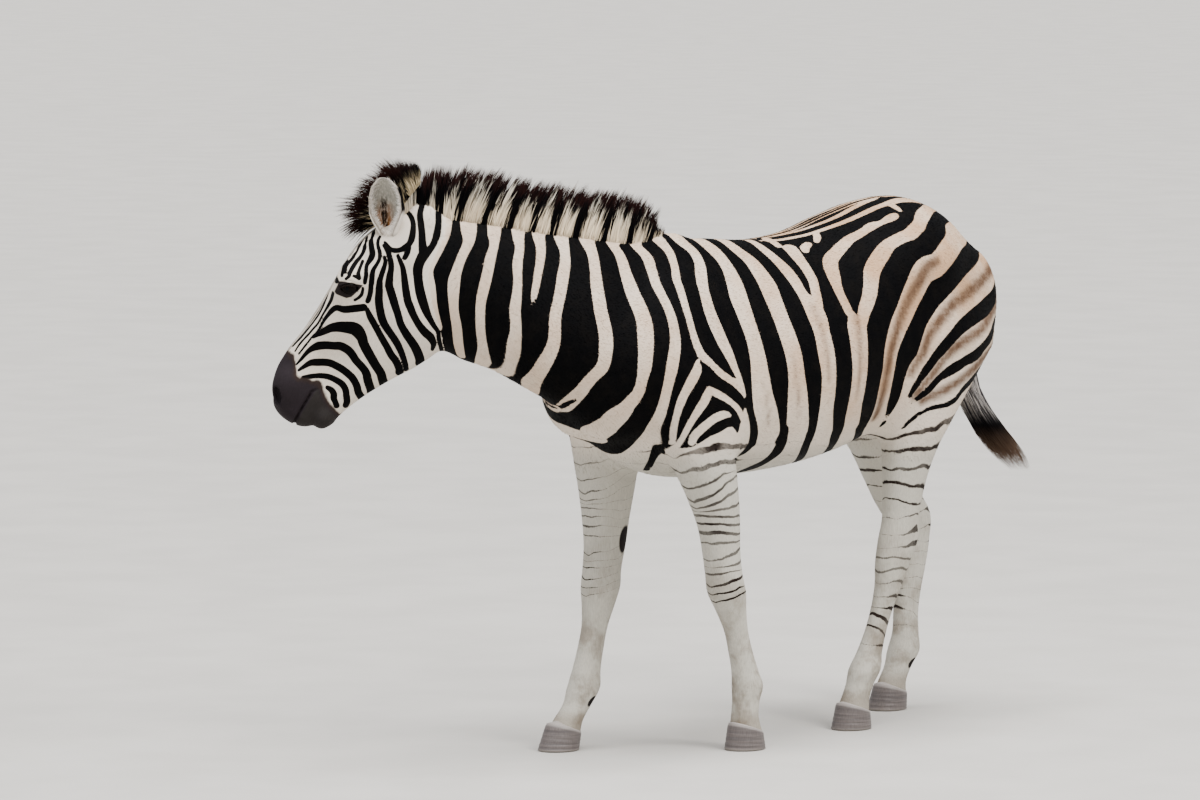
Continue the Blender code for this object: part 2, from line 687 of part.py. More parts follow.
def flesh():
    points, quads = surface_nets(body_field, FLESH_LOW, FLESH_HIGH, GRID)
    thing = new_object("trunk", settled(body_field, points), quads, "coat")
    rebuilt(thing, lambda bm: bmesh.ops.triangulate(bm, faces=bm.faces))
    thin = thing.modifiers.new("thin", "DECIMATE")
    thin.ratio = FLESH_TRIANGLES / len(thing.data.polygons)
    return biggest(applied(thing))


def part_the_flesh(trunk):
    """Cuts the flesh into head, neck, trunk and legs, and gives them in that order."""
    c, s = math.cos(NECK_TURN), math.sin(NECK_TURN)
    neck = parted(trunk, "neck", NECK_CUT, NECK_CUT_NORMAL)
    x, z = HEAD_CUT_NORMAL
    head = parted(neck, "head", stand((HEAD_CUT,))[0], (x * c, -x * s, z))
    low = parted(trunk, "legs", (0, 0, LEG_TOP), (0, 0, -1))
    legs = []
    for name, rows in (("foreleg_left", FORE_LEFT), ("foreleg_right", FORE_RIGHT),
                       ("hindleg_left", HIND_LEFT), ("hindleg_right", HIND_RIGHT)):
        legs.append(leg_out_of(low, name, rows))
    remove(low)
    return head, neck, trunk, legs


def leg_out_of(low, name, rows):
    """The one body among the parted legs whose top lies about this leg's own centre."""
    top = np.array([np.interp(LEG_TOP, [r[0] for r in rows], [r[i] for r in rows]) for i in (1, 2)])

    def change(bm):
        def distance(group):
            spots = [v.co for face in group for v in face.verts if v.co.z > LEG_TOP - 0.01]
            return np.linalg.norm(np.mean([(p.x, p.y) for p in spots], axis=0) - top) if spots else 9

        groups = sorted(islands(bm), key=distance)
        bmesh.ops.delete(bm, geom=[f for group in groups[1:] for f in group], context="FACES")
    return rebuilt(copy_of(low, name), change)


def hoof(name, leg):
    """A hoof under the leg, which is cut off at the coronet first."""
    (sx, sy), (cx, cy) = HOOVES[name]
    slope = (TOE_HEIGHT - HEEL_HEIGHT) / (2 * CORONET[0])
    middle = (TOE_HEIGHT + HEEL_HEIGHT) / 2
    normal = Vector((slope, 0, 1)).normalized()
    sliced(leg, Vector((cx, cy, middle)) + normal * GAP, -normal)
    rings = []
    for part in (0.0, SOLE_BEVEL / TOE_HEIGHT, 0.5, 1.0):
        ring = []
        for k in range(HOOF_TURNS):
            a = 2 * math.pi * k / HOOF_TURNS
            inset = SOLE_BEVEL if part == 0 else 0
            low = (sx - math.cos(a) * (SOLE[0] - inset), sy + math.sin(a) * (SOLE[1] - inset))
            high = (cx - math.cos(a) * CORONET[0], cy + math.sin(a) * CORONET[1])
            top = middle - (high[0] - cx) * slope
            ring.append((low[0] + (high[0] - low[0]) * part, low[1] + (high[1] - low[1]) * part, top * part))
        rings.append(ring)
    return rings_object(name, rings, "horn")


def eye(name, side):
    """An eyeball, and the head given a socket for it."""
    centre = stand((head_point(EYE[0], side * EYE[1], EYE[2]),))[0]
    bm = bmesh.new()
    place = Matrix.Translation(centre)
    bmesh.ops.create_uvsphere(bm, u_segments=EYE_TURNS, v_segments=EYE_BANDS, radius=EYE_RADIUS, matrix=place)
    bmesh.ops.triangulate(bm, faces=bm.faces)
    thing = new_object(name, (), (), "eye")
    bm.to_mesh(thing.data)
    bm.free()
    return thing


def ear(name, side):
    """A cupped shell, open to its front and outside."""
    rows = EAR
    axis = np.array(EAR_AXIS) * (1, side, 1)
    axis = axis / np.linalg.norm(axis)
    facing = np.array(EAR_FACING) * (1, side, 1)
    facing = facing - axis * (facing @ axis)
    facing = facing / np.linalg.norm(facing)
    across = np.cross(axis, facing)
    base = np.array(EAR_BASE) * (1, side, 1)
    walls = ([], [])
    for part, wide, half, back in rows:
        middle = base + axis * EAR_LENGTH * part - facing * back
        for wall, inset in zip(walls, (0, EAR_WALL)):
            width = max(wide - inset, 0.3 * wide)
            angles = np.radians(np.linspace(-half, half, EAR_TURNS + 1))
            wall.append([middle + across * width * math.sin(a) - facing * width * EAR_BACK_DEPTH * math.cos(a)
                         for a in angles])
    points = [stand((head_point(*p),))[0] for wall in walls for row in wall for p in row]
    n, m = len(rows), EAR_TURNS + 1
    outer = lambda r, k: r * m + k
    inner = lambda r, k: n * m + r * m + k
    faces = []
    for r in range(n - 1):
        for k in range(m - 1):
            faces.append((outer(r, k), outer(r, k + 1), outer(r + 1, k + 1), outer(r + 1, k)))
            faces.append((inner(r, k), inner(r + 1, k), inner(r + 1, k + 1), inner(r, k + 1)))
        for k in (0, m - 1):
            faces.append((outer(r, k), outer(r + 1, k), inner(r + 1, k), inner(r, k)))
    for r in (0, n - 1):
        for k in range(m - 1):
            faces.append((outer(r, k), outer(r, k + 1), inner(r, k + 1), inner(r, k)))
    thing = new_object(name, points, faces, "coat")
    return rebuilt(thing, lambda bm: bmesh.ops.triangulate(bm, faces=bm.faces))


def mane():
    """The upright hair of the crest, as one slab that thins towards its top."""
    crest = TABLES["neck"]
    rings = []
    for x, top, low, high in MANE:
        foot = float(np.interp(x, crest[:, 0], crest[:, 1])) - MANE_FOOT
        middle = (foot + 2 * top) / 3
        ring = [(x, -low, foot), (x, -low, middle), (x, -high, top - high), (x, 0, top),
                (x, high, top - high), (x, low, middle), (x, low, foot)]
        rings.append(stand(ring))
    return rings_object("mane", rings, "hair")


def forelock():
    rings = []
    for along, up, across, high in FORELOCK:
        turn = np.linspace(0, 2 * math.pi, 12, endpoint=False)
        rings.append(stand([head_point(along, across * math.cos(a), up + high * math.sin(a)) for a in turn]))
    return rings_object("forelock", rings, "hair")


def hose(name, rows, turns, look):
    """A round tube along the rows' points."""
    rows = np.array(rows)
    rings = []
    for i, (x, y, z, radius) in enumerate(rows):
        along = rows[min(i + 1, len(rows) - 1)][:3] - rows[max(i - 1, 0)][:3]
        along = along / np.linalg.norm(along)
        across = np.cross(along, (0, 1, 0))
        across = across / np.linalg.norm(across)
        aside = np.cross(along, across)
        turn = np.linspace(0, 2 * math.pi, turns, endpoint=False)
        rings.append([(x, y, z) + radius * (math.cos(a) * across + math.sin(a) * aside) for a in turn])
    return rings_object(name, rings, look)


def face_front(things):
    """Turns the animal to face -Y, centres it and stands it on z = 0."""
    spots = []
    for thing in things:
        for vertex in thing.data.vertices:
            x, y, z = vertex.co
            vertex.co = (-y, x, z)
            spots.append(vertex.co.copy())
    spots = np.array(spots)
    low, high = spots.min(axis=0), spots.max(axis=0)
    shift = Vector((-(low[0] + high[0]) / 2, -(low[1] + high[1]) / 2, -low[2]))
    for thing in things:
        for vertex in thing.data.vertices:
            vertex.co += shift
        thing.data.update()


def build():
    for thing in list(bpy.data.objects):
        bpy.data.objects.remove(thing)
    head, neck, trunk, legs = part_the_flesh(flesh())
    hooves = [hoof(name, leg) for name, leg in zip(HOOVES, legs)]
    eyes = [eye("eye_left", -1), eye("eye_right", 1)]
    cut_by(head, eyes)
    ears = [ear("ear_left", -1), ear("ear_right", 1)]
    for one in ears:
        cut_by(one, [head, neck])
    crest = cut_by(mane(), [head, neck, trunk, *ears])
    lock = cut_by(forelock(), [head, neck, *ears, crest])
    dock = cut_by(hose("tail", DOCK, 12, "coat"), [trunk])
    tuft = cut_by(hose("tail_tuft", TUFT, 12, "hair"), [dock, trunk])
    face_front([head, neck, trunk, *legs, *hooves, *eyes, *ears, crest, lock, dock, tuft])


build()
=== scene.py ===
"""The looks of a life-size plains zebra: one marked skin, its hair, eyes and hooves, and a studio.

The skin repeats the flesh of the CAD part from the same stations, a coat's depth further in. Like there,
it is written with a straight neck: x towards the tail, y to the animal's right, z up and x = 0 under
the withers. The neck is then turned, and the last step puts everything in the frame of the part. Metres.
"""

import math

import bmesh
import bpy
import numpy as np
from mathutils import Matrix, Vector


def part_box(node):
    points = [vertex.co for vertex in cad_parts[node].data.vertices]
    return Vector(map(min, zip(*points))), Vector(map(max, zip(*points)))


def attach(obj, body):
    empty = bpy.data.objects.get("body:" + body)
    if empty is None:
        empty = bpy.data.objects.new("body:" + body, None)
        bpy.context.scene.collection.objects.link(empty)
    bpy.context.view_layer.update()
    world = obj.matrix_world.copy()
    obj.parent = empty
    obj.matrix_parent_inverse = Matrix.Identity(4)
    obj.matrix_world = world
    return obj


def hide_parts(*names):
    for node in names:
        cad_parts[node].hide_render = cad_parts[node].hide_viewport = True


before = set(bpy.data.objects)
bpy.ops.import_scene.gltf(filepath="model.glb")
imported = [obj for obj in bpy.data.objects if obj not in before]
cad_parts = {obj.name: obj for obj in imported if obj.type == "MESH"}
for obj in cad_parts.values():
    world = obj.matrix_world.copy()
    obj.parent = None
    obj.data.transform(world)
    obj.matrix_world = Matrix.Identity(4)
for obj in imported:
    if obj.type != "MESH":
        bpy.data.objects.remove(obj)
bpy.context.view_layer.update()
RANDOM = np.random.default_rng(7)

# ---------------------------------------------------------------- sizes
GRID = 0.0125                   # cell of the grid that the skin is meshed on, halved on head and legs
STEPS = 8                       # parts that the space between two stations is divided in
COAT_DEPTH = 0.0028             # how far the skin lies inside the part on the body
FINE_DEPTH = 0.0012             # and on the head and legs

NECK_TURN = math.radians(45)    # heading of the head against the trunk, to the right
NECK_CORNER = 0.36              # how far ahead of the withers the two headings cross
NECK_REACH = 0.31               # length of the turn before and after that point, at the crest
NECK_SLANT = 0.50               # how fast the turn gets shorter below the crest
NECK_REACH_LEAST = 0.07
CREST_HEIGHT = 1.30

POLL = (-0.732, 1.388)          # x and z of the top of the head
HEAD_DROP = math.radians(59)    # slope of the head under the horizontal

# ---------------------------------------------------------------- stations
# Trunk: x, top, bottom, half width, level of the widest point (0 to 1), and how much the section
# narrows towards its top and towards its bottom (0 is an ellipse, less than 0 is squarer)
TRUNK = (
    (-0.22, 1.130, 0.830, 0.110, 0.48, 0.15, 0.00),
    (-0.12, 1.220, 0.745, 0.155, 0.45, 0.25, -0.05),
    (0.00, 1.285, 0.700, 0.190, 0.42, 0.38, -0.08),
    (0.15, 1.295, 0.686, 0.220, 0.42, 0.38, -0.10),
    (0.34, 1.285, 0.688, 0.248, 0.42, 0.25, -0.10),
    (0.50, 1.300, 0.704, 0.254, 0.44, 0.15, -0.10),
    (0.65, 1.339, 0.733, 0.248, 0.48, 0.08, -0.08),
    (0.78, 1.368, 0.778, 0.234, 0.52, 0.02, -0.05),
    (0.92, 1.369, 0.830, 0.215, 0.55, -0.05, 0.00),
    (1.03, 1.319, 0.890, 0.175, 0.55, -0.05, 0.00),
    (1.11, 1.245, 0.965, 0.115, 0.55, 0.00, 0.00),
)
# Neck: the same columns
NECK = (
    (-0.69, 1.362, 1.130, 0.066, 0.50, 0.05, 0.10),
    (-0.62, 1.374, 1.040, 0.080, 0.46, 0.24, 0.12),
    (-0.50, 1.364, 0.984, 0.090, 0.44, 0.40, 0.10),
    (-0.38, 1.345, 0.920, 0.106, 0.40, 0.48, 0.05),
    (-0.25, 1.325, 0.868, 0.130, 0.40, 0.50, 0.00),
    (-0.10, 1.302, 0.830, 0.150, 0.40, 0.48, 0.00),
    (0.06, 1.285, 0.805, 0.140, 0.42, 0.42, 0.00),
)
# Upper head, along its own axis from the poll: distance, then the same columns
SKULL = (
    (0.000, -0.015, -0.115, 0.050, 0.55, 0.00, 0.00),
    (0.060, 0.026, -0.125, 0.070, 0.60, 0.00, 0.00),
    (0.120, 0.047, -0.135, 0.086, 0.66, -0.08, 0.05),
    (0.195, 0.053, -0.132, 0.095, 0.68, -0.14, 0.12),
    (0.250, 0.052, -0.128, 0.088, 0.66, -0.14, 0.14),
    (0.310, 0.052, -0.126, 0.072, 0.62, -0.10, 0.10),
    (0.380, 0.055, -0.118, 0.058, 0.58, -0.08, 0.05),
    (0.450, 0.063, -0.108, 0.051, 0.55, -0.05, 0.00),
    (0.510, 0.059, -0.102, 0.054, 0.50, -0.05, 0.00),
    (0.562, 0.030, -0.092, 0.050, 0.50, -0.10, 0.00),
)
# Lower jaw: the same columns
JAW = (
    (0.110, -0.020, -0.200, 0.056, 0.50, 0.00, 0.05),
    (0.170, -0.020, -0.250, 0.066, 0.52, 0.00, 0.10),
    (0.235, -0.020, -0.266, 0.066, 0.54, 0.00, 0.15),
    (0.310, -0.025, -0.238, 0.057, 0.52, 0.00, 0.12),
    (0.380, -0.035, -0.196, 0.045, 0.50, 0.00, 0.05),
    (0.450, -0.045, -0.160, 0.038, 0.50, 0.00, 0.00),
    (0.500, -0.055, -0.140, 0.038, 0.50, 0.00, 0.00),
    (0.535, -0.060, -0.130, 0.036, 0.50, 0.00, 0.00),
)
# Legs: height, then x and y of the centre, then the radii along x and along y
FORE_LEFT = (
    (0.040, 0.186, -0.150, 0.046, 0.041),
    (0.090, 0.181, -0.152, 0.036, 0.034),
    (0.125, 0.184, -0.153, 0.038, 0.033),
    (0.160, 0.188, -0.154, 0.044, 0.036),
    (0.200, 0.178, -0.155, 0.039, 0.030),
    (0.250, 0.161, -0.156, 0.035, 0.027),
    (0.310, 0.141, -0.158, 0.034, 0.028),
    (0.365, 0.120, -0.160, 0.043, 0.037),
    (0.410, 0.104, -0.161, 0.052, 0.046),
    (0.450, 0.094, -0.162, 0.049, 0.046),
    (0.510, 0.083, -0.163, 0.051, 0.045),
    (0.580, 0.071, -0.165, 0.058, 0.050),
    (0.650, 0.050, -0.166, 0.072, 0.057),
    (0.730, 0.022, -0.163, 0.092, 0.064),
    (0.820, -0.010, -0.155, 0.112, 0.068),
    (0.930, -0.030, -0.145, 0.125, 0.064),
)
FORE_RIGHT = (
    (0.040, -0.152, 0.170, 0.047, 0.042),
    (0.075, -0.131, 0.169, 0.040, 0.036),
    (0.110, -0.102, 0.168, 0.039, 0.034),
    (0.150, -0.080, 0.167, 0.046, 0.038),
    (0.195, -0.070, 0.166, 0.041, 0.032),
    (0.250, -0.056, 0.165, 0.038, 0.029),
    (0.310, -0.041, 0.164, 0.038, 0.030),
    (0.360, -0.031, 0.162, 0.046, 0.038),
    (0.405, -0.024, 0.161, 0.053, 0.047),
    (0.450, -0.020, 0.160, 0.052, 0.047),
    (0.510, -0.010, 0.160, 0.057, 0.049),
    (0.580, -0.006, 0.160, 0.066, 0.054),
    (0.650, -0.003, 0.160, 0.080, 0.060),
    (0.730, -0.005, 0.158, 0.098, 0.066),
    (0.820, -0.015, 0.153, 0.114, 0.068),
    (0.930, -0.030, 0.145, 0.125, 0.064),
)
HIND_LEFT = (
    (0.040, 0.660, -0.078, 0.047, 0.042),
    (0.080, 0.670, -0.080, 0.039, 0.035),
    (0.115, 0.683, -0.083, 0.039, 0.034),
    (0.152, 0.697, -0.087, 0.046, 0.038),
    (0.195, 0.710, -0.091, 0.038, 0.030),
    (0.250, 0.726, -0.098, 0.032, 0.026),
    (0.310, 0.742, -0.106, 0.033, 0.026),
    (0.370, 0.757, -0.114, 0.041, 0.031),
    (0.430, 0.766, -0.121, 0.054, 0.037),
    (0.490, 0.775, -0.127, 0.058, 0.039),
    (0.540, 0.779, -0.133, 0.054, 0.039),
    (0.600, 0.782, -0.140, 0.059, 0.044),
    (0.660, 0.786, -0.146, 0.067, 0.052),
    (0.730, 0.797, -0.152, 0.084, 0.064),
    (0.800, 0.816, -0.155, 0.112, 0.080),
    (0.880, 0.843, -0.152, 0.150, 0.094),
    (0.980, 0.880, -0.140, 0.190, 0.100),
)
HIND_RIGHT = (
    (0.040, 1.020, 0.122, 0.047, 0.042),
    (0.075, 1.033, 0.124, 0.040, 0.035),
    (0.110, 1.056, 0.126, 0.039, 0.034),
    (0.150, 1.080, 0.128, 0.047, 0.039),
    (0.195, 1.090, 0.130, 0.041, 0.031),
    (0.250, 1.096, 0.134, 0.039, 0.028),
    (0.310, 1.105, 0.137, 0.043, 0.030),
    (0.370, 1.114, 0.140, 0.053, 0.034),
    (0.430, 1.120, 0.144, 0.064, 0.038),
    (0.490, 1.117, 0.147, 0.072, 0.042),
    (0.550, 1.085, 0.150, 0.082, 0.046),
    (0.610, 1.053, 0.153, 0.084, 0.052),
    (0.680, 1.018, 0.155, 0.090, 0.060),
    (0.750, 0.984, 0.157, 0.106, 0.072),
    (0.820, 0.958, 0.155, 0.135, 0.086),
    (0.900, 0.935, 0.148, 0.170, 0.098),
    (0.980, 0.920, 0.140, 0.190, 0.100),
)
# Dock of the tail: x, y, z and the radius there
DOCK = (
    (1.080, 0.000, 1.245, 0.050),
    (1.146, 0.003, 1.215, 0.038),
    (1.178, 0.006, 1.140, 0.031),
    (1.180, 0.008, 1.040, 0.027),
    (1.166, 0.008, 0.950, 0.024),
    (1.168, 0.005, 0.880, 0.022),
)
# Hair of the tail: the same columns
TUFT = (
    (1.164, 0.006, 0.925, 0.030),
    (1.180, 0.003, 0.860, 0.038),
    (1.222, -0.008, 0.785, 0.041),
    (1.280, -0.020, 0.712, 0.038),
    (1.330, -0.030, 0.656, 0.027),
    (1.360, -0.036, 0.622, 0.010),
)

# Shapes of the head in its own frame: centre, radii, pitch, fillet
HEAD_SWELLS = (
    ((0.200, 0.034, -0.155), (0.095, 0.046, 0.088), -28, 0.030),    # cheek muscle
    ((0.205, 0.070, 0.022), (0.058, 0.036, 0.028), -4, 0.030),      # brow
    ((0.300, 0.040, -0.030), (0.095, 0.033, 0.034), 6, 0.040),      # facial crest
    ((0.524, 0.030, 0.014), (0.044, 0.030, 0.036), -24, 0.026),     # rim of the nostril
    ((0.543, 0.010, -0.102), (0.030, 0.034, 0.024), 0, 0.016),      # chin
)
HEAD_HOLLOWS = (
    ((0.150, 0.112, 0.032), (0.036, 0.030, 0.024), 0, 0.034),       # above the eye
    ((0.425, 0.098, -0.050), (0.090, 0.050, 0.040), 0, 0.040),      # side of the muzzle
)
# Shapes of the trunk, y outwards: centre, radii, pitch, fillet
TRUNK_SWELLS = (
    ((-0.130, 0.100, 0.985), (0.130, 0.075, 0.110), 55, 0.09),      # point of the shoulder
    ((0.050, 0.150, 0.890), (0.125, 0.060, 0.105), -35, 0.09),      # triceps
    ((-0.010, 0.090, 1.060), (0.090, 0.080, 0.140), 10, 0.12),      # shoulder blade
    ((-0.200, 0.060, 0.895), (0.075, 0.060, 0.080), 0, 0.07),       # breast
    ((0.800, 0.130, 1.200), (0.120, 0.085, 0.090), 0, 0.09),        # point of the hip
    ((1.050, 0.085, 1.060), (0.120, 0.085, 0.170), -15, 0.07),      # buttock
)
HOCK_POINTS = ((0.819, -0.128, 0.495), (1.168, 0.148, 0.500))

# Hooves: x and y of the sole, then x and y of the coronet, which the leg comes down to
HOOVES = {
    "hoof_front_left": ((0.184, -0.150), (0.186, -0.150)),
    "hoof_front_right": ((-0.166, 0.170), (-0.146, 0.170)),
    "hoof_hind_left": ((0.658, -0.077), (0.664, -0.078)),
    "hoof_hind_right": ((1.010, 0.122), (1.024, 0.122)),
}
SOLE = (0.058, 0.049)           # half length and half width on the ground
CORONET = (0.049, 0.044)        # and at the top of the horn
TOE_HEIGHT, HEEL_HEIGHT = 0.072, 0.040

EAR_BASE = (0.080, 0.052, -0.017)
EAR_AXIS = (-0.80, 0.22, 0.60)  # towards the tip, in the head's frame
EAR_FACING = (0.30, 0.90, 0.10)  # towards the opening
EAR_LENGTH = 0.164
# Ear: part of the length, half width, half angle of the shell (degrees), set back of the shell
EAR = (
    (0.00, 0.027, 150, 0.000),
    (0.15, 0.033, 140, 0.002),
    (0.32, 0.041, 122, 0.005),
    (0.50, 0.044, 108, 0.008),
    (0.68, 0.040, 98, 0.009),
    (0.84, 0.030, 90, 0.008),
    (0.94, 0.018, 84, 0.006),
    (1.00, 0.006, 80, 0.004),
)
EAR_BACK_DEPTH = 0.62           # depth of the shell against its half width

# Mane: x along the straight neck, height of its top over the crest, half thickness low and high
MANE = (
    (0.050, 1.298, 0.012, 0.006),
    (0.000, 1.335, 0.019, 0.009),
    (-0.050, 1.380, 0.023, 0.010),
    (-0.110, 1.412, 0.026, 0.011),
    (-0.190, 1.430, 0.027, 0.011),
    (-0.280, 1.438, 0.027, 0.011),
    (-0.370, 1.452, 0.027, 0.011),
    (-0.460, 1.466, 0.027, 0.011),
    (-0.550, 1.481, 0.027, 0.012),
    (-0.630, 1.487, 0.027, 0.013),
    (-0.700, 1.487, 0.028, 0.015),
    (-0.760, 1.474, 0.028, 0.014),
)

# ---------------------------------------------------------------- shapes that only the skin has
BALL_RADIUS = 0.0235            # the eyeball, seated a little deeper than the part's plain one
BALL = (0.226, 0.0815, 0.011)
LID_THICKNESS = 0.0028
EYE_SLANT = math.radians(62)    # slope of the eye's opening, from its rear corner to the front one
EYE_HALF_LENGTH = 0.0245
UPPER_LID, LOWER_LID = 0.0085, 0.0115
PIT_DEPTH = 0.006               # how far the socket's floor lies under the eyeball's surface
LID_FILLET, LID_EDGE = 0.010, 0.0012            # round the lids, and along their edge
# Folds along the lids: distance from the upper or lower lid's edge, half thickness, depth
UPPER_FOLD = (0.0085, 0.0028, 0.0022)
LOWER_FOLD = (0.009, 0.003, 0.0010)
LID_RIM = (0.002, 0.0028, 0.0012)

NOSTRIL = ((0.549, 0.042, 0.024), (0.021, 0.013, 0.0105), -38, 0.004)
NOSTRIL_RIM = ((0.551, 0.037, 0.014), (0.026, 0.014, 0.014), -38, 0.010)
MOUTH_CORNER, MOUTH_LEVEL = 0.487, -0.043
MOUTH_DEPTH, MOUTH_WIDTH = 0.0075, 0.0036
EAR_MOUND = ((0.080, 0.036, -0.060), (0.038, 0.023, 0.028), 15, 0.020)

# Fillets between the parts of the body, and the reach of the lofts' rounded ends (first, last)
JAW_FILLET, NECK_FILLET, HEAD_FILLET, HOCK_FILLET, DOCK_FILLET = 0.018, 0.09, 0.045, 0.03, 0.035
FOOT_FILLET, FORE_FILLET, HIP_FILLET = 0.03, 0.05, 0.03        # below, and what shoulder and hip add
TRUNK_ENDS, NECK_ENDS, SKULL_ENDS, JAW_ENDS = (0.085, 0.055), (0.06, 0.10), (0.05, 0.036), (0.05, 0.022)
HOCK_RADII = (0.020, 0.018, 0.040)

SKIN_LOW, SKIN_HIGH = (-1.02, -0.36, 0.02), (1.26, 0.62, 1.48)
TINY = 1e-12                    # keeps a vector without a length from being divided by nought


# ---------------------------------------------------------------- curves through the stations
def refined(rows):
    """The stations with smooth steps between them."""
    rows = np.array(rows, float)
    t = rows[:, 0]
    slope = np.gradient(rows, t, axis=0)
    u = np.linspace(0, 1, STEPS, endpoint=False)[:, None]
    a = 2 * u**3 - 3 * u**2 + 1
    b = u**3 - 2 * u**2 + u
    c = u**3 - u**2
    out = []
    for i in range(len(rows) - 1):
        h = t[i + 1] - t[i]
        piece = a * rows[i] + b * h * slope[i] + (1 - a) * rows[i + 1] + c * h * slope[i + 1]
        piece[:, 0] = t[i] + h * u[:, 0]
        out.append(piece)
    return np.vstack(out + [rows[-1:]])


def smooth_step(low, high, t):
    """0 below low and 1 above high, smooth between; the other way round where low is the greater."""
    u = np.clip((t - low) / (high - low), 0, 1)
    return u * u * (3 - 2 * u)


def column(rows, t, i):
    """One column of a table at places t along its first column."""
    return np.interp(t, rows[:, 0], rows[:, i])


def unit(rows):
    """The vectors at length one."""
    return rows / np.maximum(np.linalg.norm(rows, axis=-1, keepdims=True), TINY)


# ---------------------------------------------------------------- solids as fields, negative inside
def blend(a, b, width):
    """The union of two solids, with a fillet about this wide."""
    h = np.clip(0.5 + 0.5 * (b - a) / width, 0, 1)
    return b * (1 - h) + a * h - width * h * (1 - h)


def carve(a, b, width):
    """The first solid without the second."""
    return -blend(-a, b, width)


def section_loft(t, v, y, rows, caps):
    """A loft along t whose sections lie in v (up) and y, with rounded ends that reach caps beyond."""
    over = t - np.clip(t, rows[0, 0], rows[-1, 0])
    top, bottom, wide, level, upper, lower = (column(rows, t, i) for i in range(1, 7))
    v = v - (bottom + level * (top - bottom))
    reach = np.where(v > 0, (1 - level) * (top - bottom), level * (top - bottom))
    rise = np.minimum((v / reach) ** 2, 1)
    wide = wide * (1 - np.where(v > 0, upper, lower) * rise)
    cap = np.where(over < 0, caps[0], caps[1])
    q = np.sqrt((y / wide) ** 2 + (v / reach) ** 2 + (over / cap) ** 2)
    return np.sqrt(y * y + v * v + over * over) * (1 - 1 / np.maximum(q, 1e-3))


def leg_loft(p, rows, power=2.15):
    """A loft upwards whose sections are ovals about a moving centre."""
    z = p[:, 2]
    over = z - np.clip(z, rows[0, 0], rows[-1, 0])
    cx, cy, rx, ry = (column(rows, z, i) for i in range(1, 5))
    x, y = p[:, 0] - cx, p[:, 1] - cy
    cap = np.where(over < 0, 0.02, 0.10)
    q = (np.abs(x) / rx) ** power + (np.abs(y) / ry) ** power + (np.abs(over) / cap) ** power
    q = np.maximum(q, 1e-6) ** (1 / power)
    return np.sqrt(x * x + y * y + over * over) * (1 - 1 / q)


def ellipsoid(p, centre, radii, pitch=0.0):
    """Pitch (degrees) lifts the +x end."""
    x, y, z = (p - np.array(centre)).T
    c, s = math.cos(math.radians(pitch)), math.sin(math.radians(pitch))
    x, z = c * x + s * z, c * z - s * x
    q = np.sqrt((x / radii[0]) ** 2 + (y / radii[1]) ** 2 + (z / radii[2]) ** 2)
    return np.sqrt(x * x + y * y + z * z) * (1 - 1 / np.maximum(q, 1e-3))


def tube(p, rows):
    """A round tube through the rows' points."""
    best = np.full(len(p), 9.0)
    rows = np.array(rows)
    for a, b in zip(rows[:-1], rows[1:]):
        along = b[:3] - a[:3]
        u = np.clip((p - a[:3]) @ along / (along @ along), 0, 1)
        d = np.linalg.norm(p - a[:3] - u[:, None] * along, axis=1) - (a[3] + u * (b[3] - a[3]))
        best = np.minimum(best, d)
    return best


# ---------------------------------------------------------------- the turn of the neck
def turn_reach(z):
    """Length of the neck's turn before and after its corner, at this height."""
    return np.maximum(NECK_REACH - NECK_SLANT * (CREST_HEIGHT - z), NECK_REACH_LEAST)


def straightened(p):
    """Where each point of the standing animal lies before the neck turns."""
    ahead, right, z = -p[:, 0], p[:, 1], p[:, 2]
    reach = turn_reach(z)
    radius = reach / math.tan(NECK_TURN / 2)
    start = NECK_CORNER - reach
    angle = np.arctan2(ahead - start, radius - right)
    c, s = math.cos(NECK_TURN), math.sin(NECK_TURN)
    on = np.where(angle < 0, ahead, start + angle / NECK_TURN * 2 * reach)
    off = np.where(angle < 0, right, radius - np.hypot(ahead - start, radius - right))
    past = (angle > NECK_TURN) & (ahead > start)
    on = np.where(past, NECK_CORNER + (ahead - NECK_CORNER) * c + right * s, on)
    off = np.where(past, right * c - (ahead - NECK_CORNER) * s, off)
    behind = ahead <= start
    return np.stack([-np.where(behind, ahead, on), np.where(behind, right, off), z], axis=1)


def turned(p):
    """The opposite of straightened."""
    p = np.atleast_2d(np.array(p, float))
    on, off, z = -p[:, 0], p[:, 1], p[:, 2]
    reach = turn_reach(z)
    radius = reach / math.tan(NECK_TURN / 2)
    start = NECK_CORNER - reach
    angle = np.clip((on - start) / (2 * reach), 0, 1) * NECK_TURN
    ahead = np.where(on < start, on, start + (radius - off) * np.sin(angle))
    right = np.where(on < start, off, radius - (radius - off) * np.cos(angle))
    c, s = math.cos(NECK_TURN), math.sin(NECK_TURN)
    past = on > start + 2 * reach
    ahead = np.where(past, NECK_CORNER + (on - NECK_CORNER) * c - off * s, ahead)
    right = np.where(past, (on - NECK_CORNER) * s + off * c, right)
    return np.stack([-ahead, right, z], axis=1)


def turned_way(base, way):
    """Unit directions at the straight animal's points, as they stand once the neck is turned."""
    step = 0.002
    out = turned(base + way * step) - turned(base)
    return unit(out)


def head_points(h):
    """Points of the straight animal from along, across and up in the head's frame."""
    c, s = math.cos(HEAD_DROP), math.sin(HEAD_DROP)
    along, across, up = np.atleast_2d(h).T
    return np.stack([POLL[0] - along * c - up * s, across, POLL[1] - along * s + up * c], axis=1)


def head_frame(p):
    """The opposite of head_points."""
    c, s = math.cos(HEAD_DROP), math.sin(HEAD_DROP)
    x, z = p[:, 0] - POLL[0], p[:, 2] - POLL[1]
    return np.stack([-x * c - z * s, p[:, 1], -x * s + z * c], axis=1)


